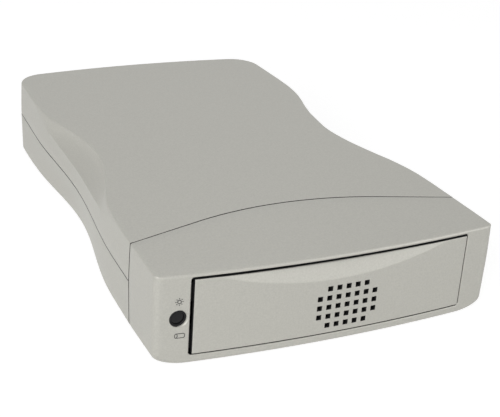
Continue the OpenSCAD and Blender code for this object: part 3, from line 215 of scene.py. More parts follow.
def carve(piece: bpy.types.Object, tool: Solid, operation: str = "DIFFERENCE",
          crease: float = 30.0) -> None:
    """Cut a closed tool out of a closed piece, or fuse it to the piece, for good.

    Args:
        piece: the object to change.
        tool: points and faces of the tool, in millimetres.
        operation: DIFFERENCE or UNION.
        crease: edges that bend by more than this many degrees stay sharp.
    """
    other = make_mesh(piece.name + "_tool", *tool)
    change = piece.modifiers.new("change", "BOOLEAN")
    change.operation = operation
    change.solver = "EXACT"
    change.object = other
    bpy.context.view_layer.update()
    mesh = bpy.data.meshes.new_from_object(piece.evaluated_get(bpy.context.evaluated_depsgraph_get()))
    piece.modifiers.clear()
    old, piece.data = piece.data, mesh
    bpy.data.meshes.remove(old)
    old = other.data
    bpy.data.objects.remove(other)
    bpy.data.meshes.remove(old)
    mesh.polygons.foreach_set("use_smooth", np.ones(len(mesh.polygons), bool))
    mesh.set_sharp_from_angle(angle=np.radians(crease))


def bare_and_shade_faces(piece: bpy.types.Object, test: Callable[[Array, Array], Array]) -> None:
    """Mark the faces that the paint doesn't reach, which also carry painted shade in gaps, seams and holes,
    in a face attribute called bare.

    Args:
        piece: the object.
        test: takes the faces' centres in millimetres and their normals, and gives True where bare.
    """
    mesh = piece.data
    centre, normal = np.empty(3 * len(mesh.polygons)), np.empty(3 * len(mesh.polygons))
    mesh.polygons.foreach_get("center", centre)
    mesh.polygons.foreach_get("normal", normal)
    marked = test(centre.reshape(-1, 3) / MM, normal.reshape(-1, 3))
    mesh.attributes.new("bare_and_shade", "FLOAT", "FACE").data.foreach_set("value", marked.astype(np.float32))


def faces_in(centre: Array, normal: Array, front: float, rear: float, height: float) -> Array:
    """Find the faces that look towards the case's middle line.

    The line runs along Y at x = 0. A face looks towards it where the step from the line's nearest point
    to the face's centre, times the normal, is below zero.

    Args:
        centre: centres of the faces, in millimetres.
        normal: their normals.
        front: where the line starts.
        rear: where it ends.
        height: its height.

    Returns:
        One truth value per face.
    """
    middle = np.stack([0 * centre[:, 0], np.clip(centre[:, 1], front, rear), 0 * centre[:, 0] + height], -1)
    return ((centre - middle) * normal).sum(1) < 0


# Finishes

class Pattern(Enum):
    """What the surface of a finish shows up close."""

    PAINT = "fine paint grain"
    MOULDED = "moulded grain"
    BRUSHED = "brushed streaks"
    CAST = "cast pits"
    BOARD = "circuit tracks"
    RIBBED = "ribs of a flat cable"


@dataclass(frozen=True)
class Finish:
    """A finish: plain values on the shader, and a procedural pattern for colour, roughness and bump.

    Grain and depth are the pattern's size and relief in millimetres. Mottle is the share by which the
    colour varies, waves is how often it does so in a metre, and spread is the play of the roughness.
    """

    name: str
    color: tuple[float, float, float]
    roughness: float
    metallic: float = 0.0
    pattern: Pattern = Pattern.MOULDED
    grain: float = 0.6
    depth: float = 0.02
    mottle: float = 0.05
    coat: float = 0.0
    gloss: float = 0.5
    # bare: dark plastic replaces the paint where the mesh's bare attribute is 1, partly as unpainted plastic
    # and partly as painted shade in gaps, seams and holes
    bare_and_shade: bool = False
    waves: float = 45.0
    spread: float = 0.06
    coat_roughness: float = 0.12

    def material(self) -> bpy.types.Material:
        """Build the node material, once.

        Returns:
            The material, made on the first call.
        """
        title = f"{self.name}_finish"
        found = bpy.data.materials.get(title)
        if found:
            return found
        material = bpy.data.materials.new(title)
        material.use_nodes = True
        tree = material.node_tree
        tree.nodes.clear()
        out = tree.nodes.new("ShaderNodeOutputMaterial")
        shader = tree.nodes.new("ShaderNodeBsdfPrincipled")
        tree.links.new(shader.outputs[0], out.inputs["Surface"])
        shader.inputs["Metallic"].default_value = self.metallic
        shader.inputs["Coat Weight"].default_value = self.coat
        shader.inputs["Specular IOR Level"].default_value = self.gloss
        shader.inputs["Coat Roughness"].default_value = self.coat_roughness
        place = tree.nodes.new("ShaderNodeTexCoord").outputs["Object"]
        fine = self._detail(tree, place)
        wide = self._noise(tree, place, self.waves, 3.0)
        tone = self._range(tree, wide, 1 - self.mottle, 1 + self.mottle)
        tinted = tree.nodes.new("ShaderNodeMix")
        tinted.data_type, tinted.blend_type = "RGBA", "MULTIPLY"
        tinted.inputs["Factor"].default_value = 1.0
        tinted.inputs["A"].default_value = (*self.color, 1)
        tree.links.new(tone, tinted.inputs["B"])
        color = tinted.outputs["Result"]
        if self.pattern is Pattern.BOARD:
            color = self._tracks(tree, place, color)
        # Dark plastic on the marked faces: unpainted plastic, and painted shade in gaps, seams and holes
        if self.bare_and_shade:
            color = self._unpainted_and_shade(tree, shader, color)
        tree.links.new(color, shader.inputs["Base Color"])
        tree.links.new(self._range(tree, fine, self.roughness - self.spread, self.roughness + self.spread),
                       shader.inputs["Roughness"])
        bump = tree.nodes.new("ShaderNodeBump")
        bump.inputs["Strength"].default_value = 1.0
        bump.inputs["Distance"].default_value = self.depth * MM
        tree.links.new(fine, bump.inputs["Height"])
        tree.links.new(bump.outputs[0], shader.inputs["Normal"])
        return material

    def _unpainted_and_shade(self, tree: bpy.types.NodeTree, shader: bpy.types.Node,
                   color: bpy.types.NodeSocket) -> bpy.types.NodeSocket:
        """Show the dark plastic under the paint where the mesh's bare attribute is 1, which also serves as
        painted shade in gaps, seams, vent holes and the inside.

        Args:
            tree: the material's node tree.
            shader: the shader, whose metallic value falls to 0 there.
            color: the paint's colour.

        Returns:
            The colour of paint or plastic.
        """
        bare_and_shade = tree.nodes.new("ShaderNodeAttribute")
        bare_and_shade.attribute_name = "bare_and_shade"
        mix = tree.nodes.new("ShaderNodeMix")
        mix.data_type = "RGBA"
        mix.inputs["B"].default_value = BARE_PLASTIC_AND_SHADE
        tree.links.new(bare_and_shade.outputs["Fac"], mix.inputs["Factor"])
        tree.links.new(color, mix.inputs["A"])
        metal = tree.nodes.new("ShaderNodeMapRange")
        metal.inputs["To Min"].default_value = self.metallic
        metal.inputs["To Max"].default_value = 0.0
        tree.links.new(bare_and_shade.outputs["Fac"], metal.inputs["Value"])
        tree.links.new(metal.outputs["Result"], shader.inputs["Metallic"])
        return mix.outputs["Result"]

    def _noise(self, tree: bpy.types.NodeTree, place: bpy.types.NodeSocket, scale: float,
               detail: float) -> bpy.types.NodeSocket:
        """Make a noise value between 0 and 1.

        Args:
            tree: the material's node tree.
            place: object coordinates, or stretched ones.
            scale: waves a metre.
            detail: how many finer layers are laid over it.

        Returns:
            The noise value.
        """
        noise = tree.nodes.new("ShaderNodeTexNoise")
        noise.inputs["Scale"].default_value = scale
        noise.inputs["Detail"].default_value = detail
        tree.links.new(place, noise.inputs["Vector"])
        return noise.outputs["Fac"]

    def _range(self, tree: bpy.types.NodeTree, value: bpy.types.NodeSocket, low: float,
               high: float) -> bpy.types.NodeSocket:
        """Spread a noise value's usual span over another one.

        Args:
            tree: the material's node tree.
            value: the noise value.
            low: what the span's lower end becomes.
            high: what its upper end becomes.

        Returns:
            The spread value.
        """
        spread = tree.nodes.new("ShaderNodeMapRange")
        ends = {"From Min": NOISE_LOW, "From Max": NOISE_HIGH, "To Min": low, "To Max": high}
        for socket, number in ends.items():
            spread.inputs[socket].default_value = number
        tree.links.new(value, spread.inputs["Value"])
        return spread.outputs["Result"]

    def _detail(self, tree: bpy.types.NodeTree, place: bpy.types.NodeSocket) -> bpy.types.NodeSocket:
        """The fine value that drives roughness and bump: noise, stretched noise, pits or ribs.

        Args:
            tree: the material's node tree.
            place: object coordinates.

        Returns:
            A value about 0.5 with the pattern's grain.
        """
        scale = 1000.0 / self.grain
        if self.pattern is Pattern.BRUSHED:
            stretch = tree.nodes.new("ShaderNodeMapping")
            stretch.inputs["Scale"].default_value = (1.0, STREAK, 1.0)
            tree.links.new(place, stretch.inputs["Vector"])
            return self._noise(tree, stretch.outputs[0], scale, 2.0)
        if self.pattern is Pattern.CAST:
            pits = tree.nodes.new("ShaderNodeTexVoronoi")
            pits.inputs["Scale"].default_value = scale
            tree.links.new(place, pits.inputs["Vector"])
            return pits.outputs["Distance"]
        if self.pattern is Pattern.RIBBED:
            wave = tree.nodes.new("ShaderNodeTexWave")
            wave.wave_type, wave.bands_direction = "BANDS", "X"
            wave.inputs["Scale"].default_value = scale / (2 * np.pi)
            tree.links.new(place, wave.inputs["Vector"])
            return wave.outputs["Fac"]
        return self._noise(tree, place, scale, 4.0 if self.pattern is Pattern.PAINT else 2.0)

    def _tracks(self, tree: bpy.types.NodeTree, place: bpy.types.NodeSocket,
                color: bpy.types.NodeSocket) -> bpy.types.NodeSocket:
        """Lay lighter copper tracks over a board's colour, from thin brick courses in the board's plane.

        Args:
            tree: the material's node tree.
            place: object coordinates.
            color: the plain colour.

        Returns:
            The colour with tracks.
        """
        brick = tree.nodes.new("ShaderNodeTexBrick")
        sizes = {"Scale": 420.0, "Mortar Size": 0.07, "Brick Width": 2.6, "Row Height": 0.55}
        for socket, number in sizes.items():
            brick.inputs[socket].default_value = number
        brick.inputs["Color1"].default_value = (1, 1, 1, 1)
        brick.inputs["Color2"].default_value = (0.8, 0.8, 0.8, 1)
        brick.inputs["Mortar"].default_value = (1.9, 2.0, 1.6, 1)
        tree.links.new(place, brick.inputs["Vector"])
        mix = tree.nodes.new("ShaderNodeMix")
        mix.data_type, mix.blend_type = "RGBA", "MULTIPLY"
        mix.inputs["Factor"].default_value = 1.0
        tree.links.new(color, mix.inputs["A"])
        tree.links.new(brick.outputs["Color"], mix.inputs["B"])
        return mix.outputs["Result"]


# The silver paint turns to dark plastic on marked faces: unpainted plastic, and painted shade in gaps, seams
# and holes
PAINT = Finish("silver_paint", (0.475, 0.468, 0.425), 0.45, 0.25, Pattern.PAINT, grain=0.35, depth=0.008,
               mottle=0.055, bare_and_shade=True, waves=1300.0)
BLACK = Finish("black_plastic", (0.010, 0.010, 0.011), 0.42, grain=0.3, depth=0.01, gloss=0.2)
LENS = Finish("dark_lens", (0.006, 0.006, 0.007), 0.14, grain=3.0, depth=0.001, gloss=0.22)
LED = Finish("led_resin", (0.60, 0.70, 0.62), 0.15, grain=2.0, depth=0.002)
RUBBER = Finish("black_rubber", (0.014, 0.014, 0.014), 0.75, grain=0.4, depth=0.03)
BLACK_STEEL = Finish("black_steel", (0.05, 0.05, 0.05), 0.38, 0.9, Pattern.MOULDED, grain=0.5, depth=0.005)
SCREW_STEEL = Finish("screw_steel", (0.52, 0.51, 0.47), 0.30, 1.0, Pattern.MOULDED, grain=0.5, depth=0.006)
SHEET_STEEL = Finish("sheet_steel", (0.48, 0.49, 0.50), 0.36, 1.0, Pattern.BRUSHED, grain=0.8, depth=0.006,
                     mottle=0.12)
CAST = Finish("cast_alloy", (0.36, 0.37, 0.38), 0.48, 0.9, Pattern.CAST, grain=0.9, depth=0.03)
LID_STEEL = Finish("drive_lid_steel", (0.55, 0.56, 0.57), 0.28, 1.0, Pattern.BRUSHED, grain=0.3, depth=0.003)
DISC = Finish("disc_coating", (0.80, 0.80, 0.82), 0.07, 1.0, grain=4.0, depth=0.0005, mottle=0.01)
ARM = Finish("arm_alloy", (0.62, 0.62, 0.63), 0.25, 1.0, Pattern.BRUSHED, grain=0.3, depth=0.003)
MAGNET = Finish("magnet_steel", (0.45, 0.45, 0.46), 0.22, 1.0, grain=1.0, depth=0.003)
BOARD = Finish("board_green", (0.012, 0.075, 0.032), 0.38, 0.0, Pattern.BOARD, grain=0.6, depth=0.02)
TAN = Finish("board_tan", (0.33, 0.22, 0.085), 0.55, 0.0, Pattern.MOULDED, grain=0.7, depth=0.02, mottle=0.1)
CHIP = Finish("chip_resin", (0.016, 0.016, 0.017), 0.50, grain=0.25, depth=0.01)
PORT = Finish("port_steel", (0.58, 0.59, 0.60), 0.24, 1.0, Pattern.BRUSHED, grain=0.5, depth=0.003)
WHITE = Finish("white_plastic", (0.66, 0.66, 0.62), 0.45, grain=0.4, depth=0.006)
TAPE = Finish("winding_tape", (0.60, 0.38, 0.03), 0.30, 0.0, Pattern.BRUSHED, grain=2.2, depth=0.03,
              mottle=0.1)
SLEEVE = Finish("sleeve_film", (0.012, 0.016, 0.055), 0.25, grain=1.5, depth=0.004, coat=0.3)
SINK = Finish("sink_alloy", (0.55, 0.55, 0.56), 0.34, 1.0, Pattern.BRUSHED, grain=0.7, depth=0.006)
FIBRE = Finish("insulator_sheet", (0.60, 0.57, 0.46), 0.70, grain=1.2, depth=0.02, mottle=0.08)
PANEL = Finish("panel_steel", (0.40, 0.395, 0.36), 0.45, 0.2, Pattern.PAINT, grain=0.45, depth=0.02,
               mottle=0.03, waves=1300.0)
BRASS = Finish("pin_brass", (0.62, 0.46, 0.17), 0.26, 1.0, Pattern.BRUSHED, grain=0.5, depth=0.003)
ROCKER = Finish("rocker_plastic", (0.014, 0.014, 0.015), 0.25, grain=0.8, depth=0.004, coat=0.2)
FAN = Finish("fan_plastic", (0.016, 0.016, 0.017), 0.46, grain=0.5, depth=0.012)
GUARD = Finish("guard_steel", (0.62, 0.62, 0.63), 0.14, 1.0, grain=1.5, depth=0.002)
RIBBON = Finish("ribbon_film", (0.30, 0.31, 0.33), 0.50, 0.0, Pattern.RIBBED, grain=1.27, depth=0.25)
LEAD = Finish("lead_film", (0.50, 0.32, 0.02), 0.40, grain=0.9, depth=0.006)
MAINS = Finish("mains_film", (0.11, 0.040, 0.018), 0.42, grain=0.9, depth=0.006)
INK = Finish("mark_ink", (0.030, 0.030, 0.032), 0.45, grain=0.3, depth=0.002)

NODE_FINISHES: dict[str, Finish] = {
    "indicator_board": BOARD, "indicator_leds": LED, "rubber_feet": RUBBER, "case_screws": BLACK_STEEL,
    "drive_cradle": SHEET_STEEL, "cradle_screws": SCREW_STEEL, "drive_casting": CAST, "drive_lid": LID_STEEL,
    "drive_lid_screws": SCREW_STEEL, "drive_discs": DISC, "drive_head_arm": ARM, "drive_magnet": MAGNET,
    "drive_board": BOARD, "drive_connector": BLACK, "drive_side_screws": SCREW_STEEL, "bridge_board": BOARD,
    "bridge_parts": CHIP, "usb_port": PORT, "firewire_port": PORT, "port_tongues": WHITE, "psu_board": TAN,
    "psu_transformer": TAPE, "psu_capacitors": SLEEVE, "psu_heatsinks": SINK, "psu_insulator": FIBRE,
    "board_screws": SCREW_STEEL, "rear_panel": PANEL, "mains_inlet": BLACK, "inlet_pins": BRASS,
    "switch_body": BLACK, "switch_rocker": ROCKER, "fan_frame": FAN, "fan_rotor": FAN, "fan_guard": GUARD,
    "fan_screws": SCREW_STEEL, "data_ribbon": RIBBON, "power_lead": LEAD, "mains_leads": MAINS,
    "top_cover": PAINT, "bottom_shell": PAINT, "front_bezel": PAINT, "front_plate": PAINT,
    "indicator_bush": BLACK, "indicator_lens": LENS}


def dress(piece: bpy.types.Object, finish: Finish, body: str) -> bpy.types.Object:
    """Give a finished piece its material and the body it rides on.

    Args:
        piece: the piece, in place in the row frame.
        finish: its finish.
        body: the CAD body that carries it.

    Returns:
        The same piece.
    """
    piece.data.materials.clear()
    piece.data.materials.append(finish.material())
    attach(piece, body)
    LOG.info("%s: %d faces, finish %s, on body %s", piece.name, len(piece.data.polygons), finish.name, body)
    return piece


# Shape of the case

def wave(y: Array, mid: float, length: float) -> Array:
    """A raised cosine: 1 at mid, falling to 0 half a length away, and 0 beyond."""
    return np.where(np.abs(y - mid) < length / 2, (1 + np.cos(2 * np.pi * (y - mid) / length)) / 2, 0.0)


@dataclass
class CaseForm:
    """The sizes that the shells, the bezel, the plate and the window share, in millimetres.

    A run is a depth counted from the front face, and an inset is a distance drawn in from the outline.
    """

    body_w: float = 182.0
    body_d: float = 290.0
    body_h: float = 48.0
    rear_w: float = 164.0
    wall: float = 2.4
    seam_z: float = 27.6
    seam_gap: float = 0.3
    seam_r: float = 0.35
    stand: float = 1.2
    face_bow: float = 5.2
    corner_r: float = 18.0
    rear_arc_r: float = 600.0
    waist_run: float = 143.0
    waist_len: float = 165.0
    top_waist: float = 14.0
    side_waist: float = 4.0
    scoop_h: float = 9.2
    scoop_start: float = 57.0
    scoop_len: float = 173.0
    base_waist_run: float = 165.0
    base_waist_len: float = 190.0
    base_waist: float = 4.2
    top_inset: float = 0.4
    edge_r: float = 1.0
    base_inset: float = 0.6
    base_round_w: float = 8.0
    base_round_h: float = 4.0
    bezel_d: float = 36.0
    bezel_rise: float = 20.0
    joint_arc_r: float = 157.0
    joint_arc_half: float = 51.0
    side_steps: int = 110
    corner_steps: int = 14
    rear_steps: int = 10
    taper_power: float = 1.25
    panel_in: float = 8.8
    panel_t: float = 2.0
    meet_z: float = 12.0
    post_front: tuple[float, float] = (69.5, 58.0)
    post_rear: tuple[float, float] = (65.0, 85.0)
    post_r: float = 4.0
    screw_hole_r: float = 1.55
    rear_open_half: float = 66.0
    lid_step: float = 0.6
    seam_soft: float = 0.1
    open_w: float = 148.4
    open_h: float = 40.8
    open_z: float = 5.4
    open_shift: float = 0.4
    tab_low: float = 7.0
    tab_high: float = 9.0
    window_x: float = -79.4
    window_z: float = 25.7
    # Extent of the dark plastic inside and at the joint: unpainted plastic, and painted shade in the seam and
    # the inside seen through the gaps
    bare_and_shade_run: tuple[float, float] = (-100.0, 110.0)
    bare_and_shade_z: float = 20.0
    joint_bare_and_shade_y: float = -80.0

    def __post_init__(self) -> None:
        """Work out the planes and circles that follow from the sizes."""
        self.back_y = self.body_d / 2
        self.face_y = self.face_bow - self.back_y
        self.joint_y = self.face_y + self.bezel_d
        self.floor_z = self.stand + self.wall
        self.ceil_z = self.body_h - self.wall
        self.arc_cy = self.back_y - self.rear_arc_r
        self.corner_x = self.rear_w / 2 - self.corner_r
        reach = self.rear_arc_r - self.corner_r
        self.corner_y = self.arc_cy + np.sqrt(reach ** 2 - self.corner_x ** 2)
        self.corner_turn = np.pi / 2 - np.arcsin(self.corner_x / reach)
        self.bow_r = ((self.body_w / 2) ** 2 + self.face_bow ** 2) / (2 * self.face_bow)
        self.panel_y1 = self.back_y - self.panel_in
        self.panel_y0 = self.panel_y1 - self.panel_t
        spots = ((self.post_front[0], self.face_y + self.post_front[1]),
                 (self.post_rear[0], self.back_y - self.post_rear[1]))
        self.posts = [(side * x, y) for side in (-1, 1) for x, y in spots]
        self.tab_heights = (self.open_z + self.tab_low, self.open_z + self.open_h - self.tab_high)

    def bow(self, x: Array) -> Array:
        """Front surface: a circle of the bow's radius through the middle of the front."""
        return self.bow_r - self.back_y - np.sqrt(self.bow_r ** 2 - np.asarray(x, float) ** 2)

    def side_half(self, y: Array) -> Array:
        """Half width at the seam: the full one, less a taper by a power of the run, less the waist's wave.

        Args:
            y: depths.

        Returns:
            The half width at each depth.
        """
        run = np.clip((y - self.face_y) / (self.corner_y - self.face_y), 0, 1)
        return (self.body_w / 2 - (self.body_w - self.rear_w) / 2 * run ** self.taper_power
                - self.side_waist * wave(y, self.face_y + self.waist_run, self.waist_len))

    def joint_line(self, x: Array, half: float) -> Array:
        """The joint on top: an arc as far as its half width, then the arc's tangents.

        With d the fall from the middle, y is joint_y + bezel_rise * (1 - d(x) / d(half)).

        Args:
            x: places across the case.
            half: where the joint reaches joint_y.

        Returns:
            y of the joint at each place.
        """
        def drop(v: Array) -> Array:
            """Fall of the joint from its middle: the arc's, then along the arc's last slope.

            Args:
                v: places across the case.

            Returns:
                The fall at each place.
            """
            v = np.abs(v)
            u = np.minimum(v, self.joint_arc_half)
            level = np.sqrt(self.joint_arc_r ** 2 - u ** 2)
            return self.joint_arc_r - level + (v - u) * u / level
        return self.joint_y + self.bezel_rise * (1 - drop(x) / drop(np.array(half)))

    def outline(self) -> tuple[Array, Array, Array, Array]:
        """Right half of the outline in plan: the side, the corner circle, then half the back's arc.

        Returns:
            x and y of the outline, the x and y parts of its inward direction, one value per point.
        """
        side_y = np.linspace(self.joint_y, self.corner_y, self.side_steps + 1)
        a = self.corner_turn * np.arange(1, self.corner_steps + 1) / self.corner_steps
        b = (np.pi / 2 - self.corner_turn) * (1 - np.arange(1, self.rear_steps + 1) / self.rear_steps)
        x = np.concatenate([self.side_half(side_y), self.corner_x + self.corner_r * np.cos(a),
                            self.rear_arc_r * np.sin(b)])
        y = np.concatenate([side_y, self.corner_y + self.corner_r * np.sin(a),
                            self.arc_cy + self.rear_arc_r * np.cos(b)])
        inward_x = np.concatenate([np.full(len(side_y), -1.0), -np.cos(a), -np.sin(b)])
        inward_y = np.concatenate([np.zeros(len(side_y)), -np.sin(a), -np.cos(b)])
        return x, y, inward_x, inward_y

    def ring(self, inset: Array, z: Array) -> Array:
        """One open ring round the case, from the right front round the back to the left front.

        Args:
            inset: distance drawn in at each point of the right half.
            z: height at each point of the right half.

        Returns:
            Points of the whole ring, the right half and its mirror image.
        """
        x, y, dx, dy = self.outline()
        high = np.array(CAD_BOX[1]) / MM
        x = np.minimum(x + dx * inset, high[0])
        y = np.minimum(y + dy * inset, high[1])
        right = np.stack([x, y, z + 0 * x], -1)
        left = right[-2::-1] * np.array([-1, 1, 1])
        return np.concatenate([right, left])

    def seam_rings(self, y: Array, z: float, way: int) -> list[tuple[Array, Array]]:
        """Three rings that round the wall's edge at the seam.

        Args:
            y: depth of each outline point.
            z: height of the edge.
            way: 1 going up from the seam, -1 going down.

        Returns:
            One (inset, height) pair of arrays per ring.
        """
        pairs = ((self.seam_r, 0.0), (self.seam_soft, self.seam_soft), (0.0, self.seam_r))
        return [(0 * y + inset, 0 * y + z + way * rise) for inset, rise in pairs]

    def inner_faces(self, centre: Array, normal: Array) -> Array:
        """True for faces that look inwards, in front of the rear panel's outer side."""
        return faces_in(centre, normal, *self.bare_and_shade_run, self.bare_and_shade_z) & (centre[:, 1] < self.panel_y1)

    def joint_shade_faces(self, centre: Array, normal: Array) -> Array:
        """True for the faces that look forwards at the joint with the bezel, which take dark plastic:
        unpainted, and the seam's painted shade.
        """
        return (normal[:, 1] < -STEEP) & (centre[:, 1] < self.joint_bare_and_shade_y)


def shell(name: str, form: CaseForm, outer: list[Array], inner: list[Array], curved: bool,
          upward: bool) -> bpy.types.Object:
    """A tray with a wall: outer and inner rings, a rim, a flat lid each, and the closed front ends.

    Args:
        name: name of the piece.
        form: the case's sizes.
        outer: rings from the rim to the lid's edge, outside.
        inner: the same inside.
        curved: give the lid's front edge the joint's arc.
        upward: the lid is on top.

    Returns:
        The closed shell.
    """
    m, n = len(outer), len(outer[0])
    j = np.arange(1 - EDGE_STEPS, EDGE_STEPS) / EDGE_STEPS if curved else np.zeros(0)

    def edge(ring: Array) -> Array:
        """Points of the lid's front edge between the ring's two ends: none where it is straight."""
        half = ring[0, 0]
        return np.stack([half * j, form.joint_line(half * j, half), 0 * j + ring[0, 2]], -1)

    outer_edge, inner_edge = edge(outer[-1]), edge(inner[-1])
    points = np.concatenate([*outer, outer_edge, *inner, inner_edge])
    start = m * n + len(j)
    faces = grid_faces(m, n, flip=True).tolist() + grid_faces(m, n, start).tolist()
    rim = np.stack([np.arange(n - 1), np.arange(1, n), start + np.arange(1, n), start + np.arange(n - 1)], -1)
    faces += rim.tolist()
    level = np.arange(m - 1)
    right = np.stack([start + level * n, start + (level + 1) * n, (level + 1) * n, level * n], -1)
    left = np.stack([level * n + n - 1, (level + 1) * n + n - 1, start + (level + 1) * n + n - 1,
                     start + level * n + n - 1], -1)
    faces += right.tolist() + left.tolist()
    high = [m * n - 1] + [m * n + i for i in range(len(j))] + [(m - 1) * n]
    faces += [[start + a, a, b, start + b] for a, b in zip(high[:-1], high[1:])]
    lid = list(range(m * n - 1, (m - 1) * n - 1, -1)) + [m * n + i for i in range(len(j) - 1, -1, -1)]
    faces += [lid, [start + i for i in lid[::-1]]]
    if not upward:
        faces = [f[::-1] for f in faces]
    return make_mesh(name, points, faces)


@dataclass
class Cover:
    """Upper shell: waist, side scoops with a crisp upper edge, four hanging posts and the rear opening."""

    form: CaseForm
    crisp_r: float = 0.5
    scoop_power: float = 0.7
    wall_shares: tuple[float, ...] = (0.35, 0.7)
    shoulder_steps: int = 14
    crisp_shares: tuple[float, ...] = (1.0, 0.6, 0.3, 0.1, 0.0)
    root: float = 1.2
    screw_top: float = 31.0

    def levels(self, y: Array) -> list[tuple[Array, Array]]:
        """Inset and height of each ring from the seam to the lid.

        The shoulder runs from depth d = 1 to 0. Its inset is the edge's inset less the shoulder's reach
        times f(d), where f is d squared in a hollow and a quarter ellipse elsewhere. The last crisp_r
        below the top is rounded by a quarter circle.

        Args:
            y: depth of each outline point.

        Returns:
            One (inset, height) pair of arrays per ring.
        """
        f = self.form
        u = (y - f.face_y - f.scoop_start) / f.scoop_len
        arch = np.where((u > 0) & (u < 1), np.sin(np.pi * np.clip(u, 0, 1)) ** self.scoop_power, 0.0)
        drop = f.edge_r + (f.scoop_h - f.edge_r) * arch
        shoulder_z = f.body_h - drop
        bend = wave(y, f.face_y + f.waist_run, f.waist_len)
        edge_in = f.top_inset + f.edge_r + (f.top_waist - f.side_waist) * bend
        hollow = np.minimum(1.0, 2.0 * bend)

        def lean(z: Array) -> Array:
            """Inward lean of the wall, growing with the square of the height above the seam."""
            return f.top_inset * ((z - f.seam_z) / (f.body_h - f.seam_z)) ** 2

        rings = f.seam_rings(y, f.seam_z + f.seam_gap / 2, 1)
        for share in self.wall_shares:
            z = f.seam_z + (shoulder_z - f.seam_z) * share
            rings.append((lean(z), z))
        tight = np.minimum(0.5, self.crisp_r / drop)
        steps = [1 - k / self.shoulder_steps for k in range(self.shoulder_steps)]
        for d in [tight + (1 - tight) * s for s in steps] + [tight * s for s in self.crisp_shares]:
            fall = np.minimum(1.0, drop * d / self.crisp_r)
            share = hollow * d * d + (1 - hollow) * np.sqrt(2 * d - d * d)
            rounding = hollow * self.crisp_r * (1 - np.sqrt(2 * fall - fall * fall))
            rings.append((edge_in + rounding - (edge_in - lean(shoulder_z)) * share, f.body_h - drop * d))
        rings.append((rings[-1][0] + f.lid_step, rings[-1][1]))
        return rings

    def build(self) -> bpy.types.Object:
        """Make the shell, hang its posts, and cut the screw holes and the rear opening.

        Returns:
            The dressed piece.
        """
        f = self.form
        y = f.outline()[1]
        outer = [f.ring(i, z) for i, z in self.levels(y)]
        inner = [f.ring(i + f.wall, z - (f.wall if k > 4 else 0)) for k, (i, z) in enumerate(self.levels(y))]
        piece = shell("case_cover", f, outer, inner, True, True)
        rods = [rod(p, f.meet_z, f.ceil_z + self.root, f.post_r) for p in f.posts]
        carve(piece, joined(rods), "UNION")
        holes = [rod(p, f.meet_z - OVER, self.screw_top, f.screw_hole_r, HOLE_STEPS) for p in f.posts]
        gap = boxes([((-f.rear_open_half, f.panel_y0 - OVER, f.meet_z),
                      (f.rear_open_half, f.back_y + OVER, f.ceil_z))])
        carve(piece, joined(holes + [gap]))
        rim_z = f.seam_z + f.seam_r
        # Dark plastic inside, on the end wall at the joint and under the rim at the seam: unpainted plastic,
        # and painted shade in the seams and the inside
        bare_and_shade_faces(piece, lambda c, n: f.inner_faces(c, n) | f.joint_shade_faces(c, n)
                   | ((n[:, 2] < -FLAT) & (c[:, 2] < rim_z)))
        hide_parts("top_cover")
        return dress(piece, PAINT, "case")


